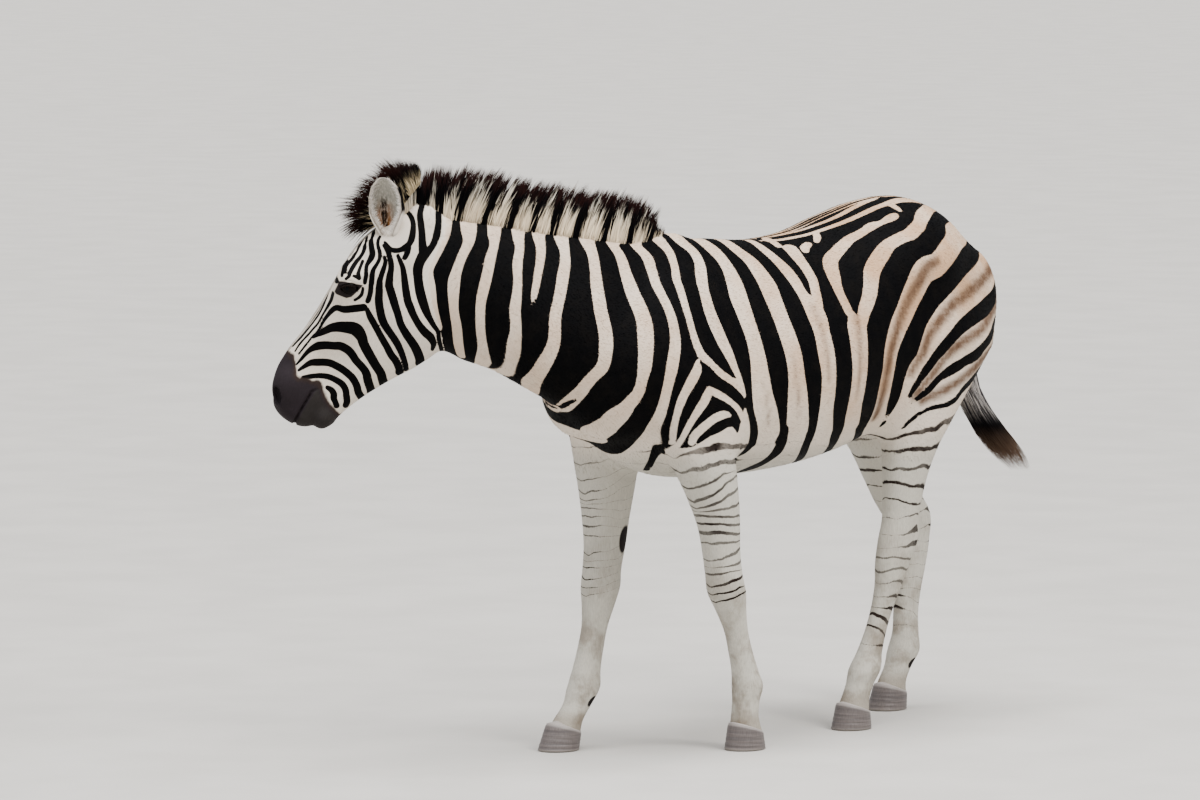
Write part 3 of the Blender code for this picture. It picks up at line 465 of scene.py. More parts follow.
# ---------------------------------------------------------------- the skin
TABLES = {
    "trunk": refined(TRUNK),
    "neck": refined(NECK),
    "skull": refined(SKULL),
    "jaw": refined(JAW),
    "legs": [refined(rows) for rows in (FORE_LEFT, FORE_RIGHT, HIND_LEFT, HIND_RIGHT)],
}


def mirrored(p):
    """The points with y made positive, for shapes that both sides share."""
    return np.stack([p[:, 0], np.abs(p[:, 1]), p[:, 2]], axis=1)


def eye_plane(side):
    """Where a point of the head lies along the eye's opening and across it, down towards the cheek."""
    a, u = side[:, 0] - BALL[0], side[:, 2] - BALL[2]
    c, s = math.cos(EYE_SLANT), math.sin(EYE_SLANT)
    return a * c + u * s, a * s - u * c


def lids(d, side):
    """Lids drawn over the eyeball, an opening between them, and a fold above the upper one."""
    away = np.linalg.norm(side - np.array(BALL), axis=1)
    d = blend(d, away - BALL_RADIUS - LID_THICKNESS, LID_FILLET)
    s, t = eye_plane(side)
    arch = 1 - (s / EYE_HALF_LENGTH) ** 2
    opening = np.maximum(-UPPER_LID * arch - t, t - LOWER_LID * arch)
    outward = BALL[1] - side[:, 1]
    opening = np.maximum(np.maximum(opening, BALL_RADIUS - PIT_DEPTH - away), outward)
    near = np.exp(-(s / 0.022) ** 2) * (side[:, 1] > 0.07)
    fold = np.exp(-((t + UPPER_LID * arch + UPPER_FOLD[0]) / UPPER_FOLD[1]) ** 2)
    below = np.exp(-((t - LOWER_LID * arch - LOWER_FOLD[0]) / LOWER_FOLD[1]) ** 2)
    rim = np.exp(-((t + UPPER_LID * arch + LID_RIM[0]) / LID_RIM[1]) ** 2)
    d = d + near * (UPPER_FOLD[2] * fold + LOWER_FOLD[2] * below - LID_RIM[2] * rim)
    return carve(d, opening, LID_EDGE)


def head_field(p):
    """The head, from points in its own frame."""
    side = mirrored(p)
    d = section_loft(p[:, 0], p[:, 2], p[:, 1], TABLES["skull"], SKULL_ENDS)
    d = blend(d, section_loft(p[:, 0], p[:, 2], p[:, 1], TABLES["jaw"], JAW_ENDS), JAW_FILLET)
    for centre, radii, pitch, width in HEAD_SWELLS:
        d = blend(d, ellipsoid(side, centre, radii, pitch), width)
    for centre, radii, pitch, width in HEAD_HOLLOWS:
        d = carve(d, ellipsoid(side, centre, radii, pitch), width)
    centre, radii, pitch, width = EAR_MOUND
    d = blend(d, ellipsoid(side, centre, radii, pitch), width)
    d = lids(d, side)
    centre, radii, pitch, width = NOSTRIL_RIM
    d = blend(d, ellipsoid(side, centre, radii, pitch), width)
    centre, radii, pitch, width = NOSTRIL
    d = carve(d, ellipsoid(side, centre, radii, pitch), width)
    return d + mouth(p)


def mouth(p):
    """The cleft between the lips: it starts at the corner and goes round the front."""
    level = MOUTH_LEVEL - 0.15 * np.maximum(p[:, 0] - 0.560, 0) - 0.6 * np.maximum(0.500 - p[:, 0], 0)
    cleft = np.exp(-((p[:, 2] - level) / MOUTH_WIDTH) ** 2)
    return MOUTH_DEPTH * cleft * smooth_step(MOUTH_CORNER - 0.006, MOUTH_CORNER + 0.012, p[:, 0])


def body_field(p):
    """The whole flesh of the standing animal, as a distance from its surface (negative inside)."""
    bound = straightened(p)
    d = section_loft(p[:, 0], p[:, 2], p[:, 1], TABLES["trunk"], TRUNK_ENDS)
    neck = section_loft(bound[:, 0], bound[:, 2], bound[:, 1], TABLES["neck"], NECK_ENDS)
    d = blend(d, neck, NECK_FILLET)
    head = head_frame(bound)
    near = (head[:, 0] > -0.12) & (p[:, 0] < -0.30)
    h = np.full(len(p), 9.0)
    h[near] = head_field(head[near])
    d = blend(d, h, HEAD_FILLET)
    side = mirrored(p)
    for centre, radii, pitch, width in TRUNK_SWELLS:
        d = blend(d, ellipsoid(side, centre, radii, pitch), width)
    for rows, hip in zip(TABLES["legs"], (0, 0, 1, 1)):
        width = FOOT_FILLET + (FORE_FILLET + HIP_FILLET * hip) * smooth_step(0.60, 0.90, p[:, 2])
        d = blend(d, leg_loft(p, rows), width)
    for centre in HOCK_POINTS:
        d = blend(d, ellipsoid(p, centre, HOCK_RADII), HOCK_FILLET)
    return blend(d, tube(p, DOCK), DOCK_FILLET)


def skin_field(p):
    """The body's field with the coat's depth taken off."""
    fine = np.maximum(smooth_step(0.80, 0.62, p[:, 2]), smooth_step(-0.45, -0.60, p[:, 0]))
    return body_field(p) + COAT_DEPTH + (FINE_DEPTH - COAT_DEPTH) * fine


# ---------------------------------------------------------------- meshing a field
def surface_nets(field, low, high, cell):
    """Vertices and quads of the surface where the field is zero."""
    counts = [int(math.ceil((b - a) / cell)) + 1 for a, b in zip(low, high)]
    block = 8
    values = np.ones(counts, np.float32)
    spans = [range(0, n, block) for n in counts]
    corners = np.array([(i, j, k) for i in spans[0] for j in spans[1] for k in spans[2]])
    centres = np.array(low) + (corners + (block - 1) / 2) * cell
    rough = field(centres)
    for (i, j, k), value in zip(corners, rough):
        piece = values[i:i + block, j:j + block, k:k + block]
        if abs(value) > 2.6 * block * cell:
            piece[:] = value
            continue
        index = np.stack(np.meshgrid(*(np.arange(n) for n in piece.shape), indexing="ij"), -1)
        points = np.array(low) + (index.reshape(-1, 3) + (i, j, k)) * cell
        piece[:] = field(points).reshape(piece.shape)
    inside = values < 0
    total = np.zeros([n - 1 for n in counts] + [3])
    hits = np.zeros([n - 1 for n in counts], int)
    offsets = [(0, 0), (0, 1), (1, 0), (1, 1)]
    edges = []
    for axis in range(3):
        one = [slice(None)] * 3
        two = [slice(None)] * 3
        one[axis], two[axis] = slice(None, -1), slice(1, None)
        a, b = values[tuple(one)], values[tuple(two)]
        cross = inside[tuple(one)] != inside[tuple(two)]
        at = np.argwhere(cross)
        part = a[cross] / (a[cross] - b[cross])
        spot = at.astype(float)
        spot[:, axis] += part
        others = [k for k in range(3) if k != axis]
        keep = np.ones(len(at), bool)
        for k in others:
            keep &= (at[:, k] > 0) & (at[:, k] < counts[k] - 1)
        for u, v in offsets:
            cells = at.copy()
            cells[:, others[0]] -= u
            cells[:, others[1]] -= v
            np.add.at(total, tuple(cells[keep].T), spot[keep])
            np.add.at(hits, tuple(cells[keep].T), 1)
        edges.append((at[keep], others, inside[tuple(one)][tuple(at[keep].T)], axis))
    used = hits > 0
    number = np.full(used.shape, -1)
    number[used] = np.arange(used.sum())
    points = np.array(low) + total[used] / hits[used][:, None] * cell
    quads = []
    for at, others, solid, axis in edges:
        ring = []
        for u, v in ((0, 0), (1, 0), (1, 1), (0, 1)):
            cells = at.copy()
            cells[:, others[0]] -= u
            cells[:, others[1]] -= v
            ring.append(number[tuple(cells.T)])
        ring = np.stack(ring, 1)
        flip = solid if axis != 1 else ~solid
        quads.append(np.where(flip[:, None], ring, ring[:, ::-1]))
    return points, np.vstack(quads)


def gradient(field, points, step=0.0015):
    """The field's slope at each point."""
    out = np.zeros_like(points)
    for axis in range(3):
        move = np.zeros(3)
        move[axis] = step
        out[:, axis] = (field(points + move) - field(points - move)) / (2 * step)
    return out


def settled(field, points, times, most):
    """The points moved onto the field's surface."""
    for _ in range(times):
        slope = gradient(field, points)
        size = np.maximum((slope ** 2).sum(1), 0.05)
        move = field(points)[:, None] * slope / size[:, None]
        length = np.linalg.norm(move, axis=1, keepdims=True)
        points = points - move * np.minimum(1, most / np.maximum(length, 1e-9))
    return points


# ---------------------------------------------------------------- markings
# Each stroke is a run of points along the middle of a stripe: how far back, how far up, and half the
# stripe's width in millimetres. Pale stripes lie on a dark body; dark ones are drawn over them.

# Behind the ear, on the mane only
POLL_PALE = (((-.712, 1.47, 22), (-.712, 1.36, 20)),)
NECK_PALE = (
    ((-.656, 1.470, 16), (-.656, 1.439, 14), (-.6575, 1.395, 11), (-.655, 1.351, 9.5), (-.661, 1.32, 7),
     (-.670, 1.294, 2)),
    ((-.614, 1.465, 20), (-.614, 1.395, 14), (-.6175, 1.339, 9.5), (-.633, 1.301, 11), (-.649, 1.27, 11),
     (-.662, 1.239, 12), (-.659, 1.20, 15), (-.654, 1.15, 15), (-.642, 1.10, 14)),
    ((-.556, 1.465, 24), (-.559, 1.395, 22), (-.561, 1.351, 19), (-.564, 1.314, 13), (-.583, 1.27, 11),
     (-.594, 1.239, 12), (-.600, 1.2075, 14), (-.599, 1.15, 11), (-.5915, 1.10, 12), (-.5875, 1.05, 12),
     (-.581, 1.0, 10)),
    ((-.486, 1.465, 21), (-.491, 1.395, 19), (-.497, 1.351, 16), (-.5, 1.314, 11), (-.5125, 1.27, 12.5),
     (-.52, 1.239, 12.5), (-.531, 1.195, 12.5), (-.5375, 1.1575, 11), (-.5365, 1.10, 10), (-.532, 1.05, 9),
     (-.535, 1.0, 12), (-.54, .96, 10)),
    ((-.422, 1.465, 21), (-.428, 1.395, 19), (-.434, 1.351, 15), (-.436, 1.3075, 11), (-.447, 1.2575, 12),
     (-.451, 1.2075, 10), (-.459, 1.151, 12.5), (-.464, 1.10, 11), (-.483, 1.05, 11), (-.506, 1.0, 6),
     (-.525, .95, 5), (-.54, .93, 4)),
    ((-.366, 1.465, 21), (-.372, 1.395, 19), (-.379, 1.3575, 16), (-.38, 1.32, 12.5), (-.389, 1.27, 10.5),
     (-.403, 1.22, 9), (-.414, 1.1825, 7.5), (-.419, 1.1575, 3)),
    ((-.306, 1.465, 24), (-.3125, 1.395, 22), (-.3175, 1.3575, 19), (-.319, 1.314, 13), (-.326, 1.27, 13),
     (-.341, 1.22, 14), (-.3575, 1.17, 12.5), (-.375, 1.12, 12.5), (-.384, 1.09, 12.5), (-.397, 1.06, 13),
     (-.42, 1.03, 14), (-.452, .998, 16), (-.477, .965, 18), (-.494, .935, 20), (-.506, .905, 20),
     (-.519, .88, 20)),
    ((-.230, 1.465, 27), (-.236, 1.395, 25), (-.244, 1.364, 22), (-.244, 1.314, 15.5), (-.251, 1.2575, 14),
     (-.261, 1.195, 15.5), (-.267, 1.1325, 15.5), (-.272, 1.0825, 15.5), (-.281, 1.039, 16),
     (-.296, 1.0, 15), (-.325, .975, 14), (-.354, .948, 15), (-.382, .914, 17), (-.407, .8786, 19),
     (-.4286, .8464, 19), (-.446, .825, 15)),
)
SHOULDER_PALE = (
    ((-.146, 1.465, 28), (-.152, 1.395, 26), (-.1675, 1.364, 18), (-.1625, 1.314, 16), (-.169, 1.251, 16),
     (-.173, 1.189, 18), (-.176, 1.12, 16), (-.191, 1.0575, 15), (-.205, .995, 14), (-.2125, .964, 12),
     (-.222, .925, 15), (-.2514, .887, 24), (-.294, .855, 30), (-.3286, .8057, 34), (-.34, .765, 42),
     (-.31, .73, 32), (-.285, .712, 14)),
    ((-.075, 1.465, 21), (-.081, 1.395, 19), (-.0925, 1.364, 17), (-.084, 1.314, 16), (-.098, 1.251, 12),
     (-.111, 1.1825, 11), (-.1125, 1.114, 12), (-.119, 1.0575, 14), (-.1375, 1.001, 15), (-.153, .939, 12),
     (-.159, .864, 12), (-.158, .83, 15), (-.150, .80, 22), (-.137, .764, 30), (-.125, .714, 36),
     (-.10, .66, 40)),
    ((-.009, 1.46, 22), (-.009, 1.389, 20), (-.005, 1.3325, 14), (-.025, 1.27, 11), (-.051, 1.2075, 11),
     (-.064, 1.145, 10), (-.064, 1.0825, 10), (-.057, 1.034, 12), (-.042, 1.012, 11), (-.024, .997, 10),
     (-.003, .9774, 10), (.019, .9635, 10), (.041, .952, 9), (.0626, .939, 9), (.0843, .923, 8.5),
     (.095, .908, 5)),
    ((.059, 1.46, 24), (.059, 1.389, 22), (.079, 1.339, 19), (.072, 1.2825, 18), (.045, 1.226, 20),
     (.022, 1.17, 20), (.014, 1.12, 22), (.030, 1.06, 22), (.041, 1.034, 20), (.052, 1.008, 17),
     (.0626, .982, 13), (.0757, .956, 10), (.0865, .934, 7), (.095, .9165, 3)),
    ((-.070, 1.0035, 5), (-.070, .988, 12), (-.080, .971, 14), (-.094, .951, 13.5), (-.106, .93, 12),
     (-.1157, .908, 11), (-.121, .886, 9), (-.124, .864, 7.5), (-.124, .8426, 7), (-.12, .821, 5.5),
     (-.1143, .801, 4)),
    ((-.0396, .936, 6), (-.044, .9187, 13), (-.0526, .9035, 13), (-.0678, .884, 11.5), (-.081, .864, 9.5),
     (-.0904, .847, 8.5), (-.0983, .825, 7), (-.1035, .8035, 6), (-.106, .79, 6)),
    ((-.034, .931, 9), (-.007, .92, 9.5), (.0148, .91, 8.5), (.0365, .898, 8), (.0539, .887, 8),
     (.0713, .873, 9), (.0843, .8578, 9), (.092, .847, 8)),
    ((-.078, .8035, 9), (-.073, .8196, 11.5), (-.0545, .8374, 12), (-.0352, .8504, 11.5),
     (-.0157, .861, 11.5), (.004, .866, 11), (.0213, .8674, 8.5), (.0365, .8635, 3.5)),
)
FLANK_PALE = (
    ((.1455, 1.46, 22), (.1455, 1.40, 22), (.1556, 1.35, 23), (.1625, 1.30, 20), (.162, 1.25, 22),
     (.156, 1.20, 26), (.1475, 1.15, 29), (.147, 1.10, 26), (.152, 1.05, 23), (.155, 1.0, 25),
     (.156, .95, 31),
     (.163, .90, 36), (.185, .85, 37), (.211, .80, 34)),
    ((.2305, 1.46, 20), (.2305, 1.40, 20), (.237, 1.35, 21), (.253, 1.30, 23), (.2575, 1.25, 26),
     (.26, 1.20, 28), (.257, 1.15, 27), (.257, 1.10, 25), (.262, 1.05, 26), (.269, 1.0, 26),
     (.2725, .95, 26),
     (.278, .90, 31), (.288, .85, 34), (.306, .80, 34), (.3235, .75, 31)),
    ((.327, 1.46, 12), (.327, 1.40, 12), (.329, 1.35, 15), (.338, 1.30, 16), (.347, 1.25, 19),
     (.353, 1.20, 18), (.357, 1.15, 17), (.373, 1.10, 30), (.375, 1.05, 26), (.377, 1.0, 28),
     (.381, .95, 25),
     (.382, .90, 25), (.386, .85, 25), (.403, .80, 30), (.426, .75, 40)),
    ((.4125, 1.34, 21), (.41, 1.30, 19), (.411, 1.25, 16), (.41, 1.20, 15), (.403, 1.167, 14),
     (.395, 1.133, 14), (.385, 1.11, 14)),
    ((.386, 1.41, 12), (.386, 1.36, 11)),
    ((.449, 1.320, 10), (.4556, 1.3344, 13), (.475, 1.348, 11)),
    ((.528, 1.387, 8), (.519, 1.3706, 10), (.506, 1.354, 8)),
)
RUMP_PALE = (
    ((.496, 1.06, 32), (.494, 1.0, 30), (.494, .95, 28), (.493, .90, 28), (.496, .85, 29), (.515, .80, 32),
     (.539, .75, 39)),
    ((.482, 1.10, 14), (.474, 1.15, 14), (.480, 1.20, 20), (.488, 1.24, 22), (.505, 1.27, 22),
     (.533, 1.29, 20), (.568, 1.313, 18), (.596, 1.329, 16), (.624, 1.337, 15), (.652, 1.3467, 14),
     (.679, 1.3567, 16), (.707, 1.358, 10), (.735, 1.366, 15), (.754, 1.374, 14), (.764, 1.381, 8)),
    ((.520, 1.078, 17), (.5325, 1.10, 18), (.552, 1.122, 19), (.572, 1.15, 20), (.602, 1.20, 21),
     (.6446, 1.242, 21), (.675, 1.266, 18), (.715, 1.280, 15), (.746, 1.287, 15), (.774, 1.301, 17),
     (.807, 1.318, 20), (.835, 1.34, 23), (.863, 1.3594, 23), (.888, 1.373, 22), (.916, 1.387, 20),
     (.945, 1.398, 20)),
    ((.636, .75, 25), (.628, .80, 30), (.614, .85, 25), (.607, .90, 26), (.609, .95, 25), (.615, 1.0, 27),
     (.64, 1.05, 30), (.68, 1.10, 30), (.715, 1.145, 32), (.75, 1.19, 33), (.80, 1.2055, 31),
     (.85, 1.232, 31),
     (.90, 1.2525, 30), (.95, 1.275, 37), (1.0, 1.29, 44), (1.05, 1.31, 44)),
    ((.36, 1.40, 6), (.406, 1.393, 6), (.461, 1.3944, 6), (.517, 1.3967, 6), (.572, 1.401, 7),
     (.628, 1.408, 8), (.683, 1.4206, 8.5), (.739, 1.4356, 9.5), (.772, 1.443, 9.5), (.806, 1.448, 13),
     (.839, 1.451, 15), (.867, 1.448, 17), (.905, 1.44, 18)),
    ((.796, 1.44, 12), (.796, 1.412, 10), (.793, 1.394, 6)),
    ((.40, 1.424, 5), (.46, 1.427, 5), (.517, 1.429, 5), (.572, 1.4344, 6), (.60, 1.438, 6),
     (.628, 1.4444, 7), (.656, 1.453, 7.5), (.683, 1.463, 8), (.711, 1.472, 8), (.739, 1.481, 8.5),
     (.767, 1.489, 8.5), (.80, 1.497, 8)),
    ((.52, 1.456, 2.5), (.60, 1.477, 3.5), (.68, 1.496, 3.5)),
)
# Edge of the pale underside, thighs and buttocks, as one closed outline
UNDERSIDE = (
    (-.20, -.30), (-.20, .60), (-.165, .66), (-.16, .70), (-.135, .74), (-.12, .775), (-.112, .785),
    (-.075, .79), (-.064, .797), (-.057, .80), (-.0286, .8157), (0, .8229), (.0286, .8343), (.0474, .8348),
    (.058, .8274), (.0713, .8165), (.079, .822), (.080, .836), (.0865, .852), (.092, .872), (.096, .90),
    (.1017, .886), (.110, .864), (.1235, .838), (.1365, .812), (.147, .786), (.148, .769), (.18, .775),
    (.25, .78), (.645, .78), (.66, .80), (.667, .83), (.672, .861),
    (.675, .911), (.683, .944), (.694, .961), (.711, .978), (.728, 1.022), (.744, 1.05), (.767, 1.072),
    (.80, 1.10), (.85, 1.128), (.90, 1.153), (.95, 1.172), (1.0, 1.186), (1.05, 1.20), (1.128, 1.225),
    (1.6, 1.24), (1.6, -.30),
)
BODY_DARK = (
    ((.105, .895, 14), (.125, .86, 13), (.15, .82, 14), (.1625, .79, 15), (.157, .765, 13), (.14, .75, 8),
     (.12, .745, 4), (.09, .748, 4), (.075, .75, 3)),
    ((.258, .81, 14), (.2725, .75, 19), (.265, .70, 18), (.246, .65, 24), (.232, .61, 14)),
    ((.3547, .80, 15), (.371, .75, 15), (.393, .70, 15), (.417, .655, 14), (.44, .61, 10)),
    ((.461, .80, 22), (.483, .75, 17), (.504, .70, 15), (.518, .68, 15), (.55, .63, 10)),
    ((.569, .80, 22), (.5945, .75, 17), (.617, .715, 17), (.64, .67, 12), (.655, .64, 8)),
    ((.664, .80, 6), (.667, .77, 4)),
    ((1.27, 1.16, 5), (1.24, 1.155, 12), (1.19, 1.145, 16), (1.13, 1.12, 18), (1.10, 1.10, 22),
     (1.05, 1.0845, 23), (1.0, 1.074, 21), (.95, 1.0625, 20),
     (.90, 1.0485, 19), (.87, 1.036, 18), (.845, 1.021, 17), (.822, 1.0055, 17), (.80, .989, 17),
     (.78, .973, 15), (.763, .955, 14), (.74, .932, 13), (.725, .913, 10), (.71, .89, 9), (.70, .87, 5)),
    ((1.24, 1.07, 4), (1.20, 1.06, 11), (1.13, 1.04, 15), (1.05, 1.01, 14), (.99, .985, 14),
     (.967, .972, 17), (.933, .960, 16), (.90, .953, 14), (.872, .943, 15),
     (.844, .935, 15), (.817, .925, 13), (.80, .918, 10), (.783, .907, 10), (.761, .888, 10),
     (.739, .873, 9),
     (.72, .86, 6), (.709, .852, 3)),
    ((1.14, .96, 4), (1.08, .945, 10), (1.0, .92, 12), (.94, .896, 11), (.895, .876, 9), (.872, .857, 9),
     (.844, .845, 8), (.80, .84, 7), (.767, .835, 6), (.744, .826, 6),
     (.73, .815, 6), (.717, .80, 5), (.71, .785, 3)),
    ((-.375, .912, 3), (-.41, .875, 7), (-.43, .85, 8), (-.447, .83, 6)),
)
# The fold between the breast and the near foreleg
NEAR_DARK = (
    ((-.118, .81, 7), (-.113, .79, 7), (-.10, .757, 8), (-.0857, .714, 8), (-.0714, .671, 8),
     (-.057, .636, 6)),
)
# Brown stripes in the middle of the broad pale ones
SHADOWS = (
    ((1.20, 1.19, 4), (1.15, 1.18, 8), (1.094, 1.167, 9), (1.05, 1.153, 9), (1.0, 1.139, 10),
     (.95, 1.125, 10), (.90, 1.111, 9),
     (.861, 1.10, 9), (.822, 1.078, 9), (.789, 1.0555, 9), (.761, 1.033, 8), (.744, 1.011, 8),
     (.733, .983, 7),
     (.714, .961, 6), (.694, .933, 4)),
    ((1.16, 1.09, 4), (1.10, 1.07, 8), (1.011, 1.042, 9), (.989, 1.033, 8), (.944, 1.019, 8),
     (.90, 1.008, 9), (.867, .997, 9), (.833, .981, 9),
     (.80, .955, 7), (.778, .933, 7), (.756, .912, 6), (.733, .89, 5), (.717, .872, 4)),
    ((1.10, .99, 4), (1.02, .96, 8), (.95, .93, 8), (.90, .911, 7), (.872, .90, 7), (.84, .889, 7),
     (.80, .876, 7), (.767, .868, 6), (.74, .857, 4)),
    ((.80, 1.215, 6), (.76, 1.20, 8), (.73, 1.165, 9), (.70, 1.13, 9), (.65, 1.07, 9), (.615, 1.0, 8),
     (.605, .95, 8), (.605, .88, 7), (.615, .82, 6)),
    ((.503, 1.12, -3), (.50, 1.06, -1), (.497, 1.0, -2), (.494, .95, -3), (.49, .88, -6)),
    ((.373, 1.12, -3), (.375, 1.05, -3), (.377, 1.0, -3), (.38, .93, -6)),
    ((.265, 1.0, -8), (.275, .92, -5), (.29, .85, -6)),
    ((.17, .93, -8), (.19, .86, -5), (.20, .83, -6)),
)
# Head: along from the poll, up from the head's axis, half width in millimetres
HEAD_DARK = (
    ((-.002, -.006, 3), (-.004, -.019, 4), (0, -.032, 5), (.010, -.044, 5), (.025, -.053, 6),
     (.042, -.060, 7),
     (.057, -.062, 6), (.071, -.057, 6), (.082, -.050, 5), (.090, -.039, 5), (.092, -.028, 4),
     (.088, -.016, 3), (.085, -.008, 2)),
    ((.065, -.064, 6), (.078, -.069, 5.5), (.092, -.070, 5)),
    ((-.091, -.012, 6), (-.065, -.027, 6), (-.041, -.040, 6), (-.018, -.047, 6), (0, -.060, 7),
     (.018, -.074, 7), (.036, -.086, 8), (.053, -.098, 9)),
    ((-.11, -.045, 7), (-.073, -.083, 8), (-.05, -.0845, 7), (-.032, -.093, 7), (-.018, -.100, 7),
     (0, -.107, 8), (.02, -.112, 7), (.04, -.113, 7), (.06, -.107, 12), (.08, -.107, 11), (.10, -.112, 11),
     (.12, -.125, 10), (.14, -.141, 10.5), (.16, -.161, 10.5), (.18, -.185, 8.5), (.19, -.200, 6.5),
     (.20, -.217, 5), (.209, -.235, 4), (.226, -.248, 4), (.247, -.267, 4)),
    ((.097, -.053, 3), (.105, -.064, 4), (.114, -.076, 5), (.126, -.087, 6), (.141, -.0985, 7),
     (.160, -.1135, 8), (.180, -.131, 8.5), (.190, -.144, 8.5), (.200, -.157, 8), (.209, -.171, 7.5),
     (.218, -.1875, 8), (.226, -.208, 9), (.230, -.2254, 9), (.241, -.2405, 6), (.256, -.246, 3)),
    ((.093, -.009, 2), (.099, -.023, 4), (.107, -.034, 5), (.120, -.047, 5.5), (.133, -.055, 6),
     (.146, -.060, 7), (.160, -.066, 8), (.171, -.072, 8.5), (.182, -.083, 9), (.200, -.103, 9),
     (.219, -.1246, 8), (.2395, -.147, 8), (.254, -.172, 9), (.264, -.193, 9.5), (.2746, -.211, 10),
     (.291, -.230, 10), (.302, -.237, 10)),
    ((.116, -.0256, 2.5), (.124, -.033, 3.5), (.133, -.037, 4), (.146, -.040, 5), (.160, -.043, 5),
     (.172, -.046, 6), (.182, -.051, 7), (.200, -.0605, 8), (.219, -.071, 8.5), (.2395, -.0875, 9),
     (.254, -.102, 9), (.264, -.118, 8.5), (.2746, -.141, 8), (.284, -.160, 8), (.2975, -.180, 7),
     (.310, -.195, 6), (.322, -.2075, 5.5), (.332, -.2155, 5)),
    ((.080, .009, 2), (.089, .0086, 2.5), (.100, .003, 3), (.110, -.008, 3.5), (.118, -.014, 3.5),
     (.130, -.0186, 3), (.141, -.019, 3), (.156, -.0186, 4), (.165, -.021, 5), (.180, -.028, 5.5),
     (.192, -.033, 5), (.201, -.0376, 5), (.2165, -.0436, 5), (.231, -.0467, 5)),
    ((.074, .077, 3), (.077, .060, 4), (.082, .048, 4.5), (.086, .037, 5), (.092, .030, 5), (.100, .024, 5),
     (.110, .016, 5.5), (.118, .009, 6), (.126, .003, 6.5), (.135, .001, 6), (.141, .001, 5),
     (.156, .001, 3.5), (.1665, -.0035, 3.5), (.179, -.011, 4), (.195, -.017, 3.5)),
    ((.100, .068, 3), (.101, .054, 3), (.106, .045, 3.5), (.1105, .036, 3.5), (.118, .031, 3.5),
     (.1256, .027, 3.5), (.135, .025, 3), (.147, .025, 3), (.159, .027, 3.5), (.171, .028, 4),
     (.183, .028, 4), (.194, .027, 4), (.201, .025, 3), (.210, .028, 2)),
    ((.106, .068, 4), (.113, .066, 6.5), (.122, .061, 8), (.129, .0525, 7), (.138, .0435, 5),
     (.148, .041, 3), (.159, .040, 2.5),
     (.171, .042, 2.5), (.180, .0435, 2.5), (.190, .042, 2.5), (.198, .037, 2)),
    ((.145, .069, 2.5), (.158, .063, 3), (.170, .057, 3), (.1725, .050, 2.5), (.183, .0495, 2.5),
     (.194, .0465, 2.5),
     (.209, .0405, 2.5)),
    ((.172, .068, 2.5), (.190, .066, 3.5), (.208, .062, 5), (.222, .056, 6), (.228, .045, 5)),
    ((.243, .075, 2.5), (.256, .075, 4.5), (.267, .072, 6), (.278, .064, 6), (.290, .059, 6),
     (.306, .056, 6),
     (.325, .0555, 5), (.345, .060, 4), (.365, .066, 4), (.385, .0725, 4.5), (.400, .077, 5),
     (.415, .084, 5),
     (.425, .087, 5)),
    ((.2594, .0375, 3), (.278, .033, 3.5), (.301, .033, 3.5), (.325, .035, 3.5), (.346, .0375, 3),
     (.362, .0445, 3), (.381, .0515, 3), (.399, .0585, 3), (.4156, .063, 3), (.434, .063, 2)),
    ((.250, -.046, 8), (.264, -.0275, 8), (.279, -.007, 7.5), (.285, .010, 6), (.297, .017, 5),
     (.322, .021, 3), (.347, .022, 2.5), (.3675, .026, 2.5), (.380, .0325, 2.5), (.399, .0375, 2.5),
     (.434, .0455, 2)),
    ((.250, -.056, 4), (.262, -.071, 6.5), (.2746, -.0915, 7), (.287, -.112, 7), (.297, -.129, 7.5),
     (.306, -.145, 7.5), (.318, -.164, 8), (.326, -.182, 8), (.3386, -.199, 8), (.347, -.205, 9)),
    ((.380, .028, 2.5), (.3675, .016, 4.5), (.353, .0075, 7), (.3366, -.0027, 9), (.324, -.017, 11.5),
     (.315, -.034, 13.5), (.3085, -.050, 15), (.309, -.0626, 15), (.318, -.080, 12), (.329, -.0915, 11),
     (.341, -.110, 11), (.353, -.131, 10.5), (.362, -.147, 10), (.372, -.166, 10), (.384, -.178, 10),
     (.393, -.187, 10)),
    ((.460, .0335, 2), (.440, .028, 4.5), (.419, .022, 6), (.405, .014, 7.5), (.392, .0015, 9),
     (.380, -.015, 9), (.372, -.0316, 9), (.3645, -.046, 9.5), (.3634, -.065, 9.5), (.3676, -.081, 9),
     (.376, -.098, 8.5), (.382, -.118, 8.5), (.390, -.135, 9), (.405, -.149, 9.5), (.419, -.164, 9),
     (.425, -.169, 9)),
    ((.469, .016, 3), (.454, .008, 5), (.438, -.003, 7), (.4295, -.017, 8), (.421, -.0316, 8),
     (.415, -.046, 8), (.413, -.065, 8), (.413, -.081, 8), (.415, -.098, 8), (.419, -.114, 8),
     (.4295, -.131, 8), (.442, -.143, 8), (.450, -.1555, 8)),
    ((.479, -.005, 3), (.471, -.017, 4.5), (.4605, -.0316, 5), (.452, -.046, 5.5), (.446, -.0626, 6),
     (.444, -.081, 6.5), (.445, -.098, 7), (.452, -.112, 7), (.4647, -.1225, 7), (.477, -.131, 7),
     (.487, -.133, 6)),
    ((.471, -.071, 4), (.471, -.083, 6), (.477, -.0936, 7), (.485, -.098, 7), (.4915, -.106, 6),
     (.498, -.114, 6)),
    ((.209, -.020, 2), (.2165, -.023, 2.5), (.2256, -.025, 3), (.235, -.023, 2.5), (.245, -.018, 2)),
    ((.153, .0147, 2.5), (.165, .013, 2.5), (.179, .010, 3), (.186, .007, 4), (.192, .001, 4)),
    ((.192, .001, 3), (.194, .015, 2)),
)
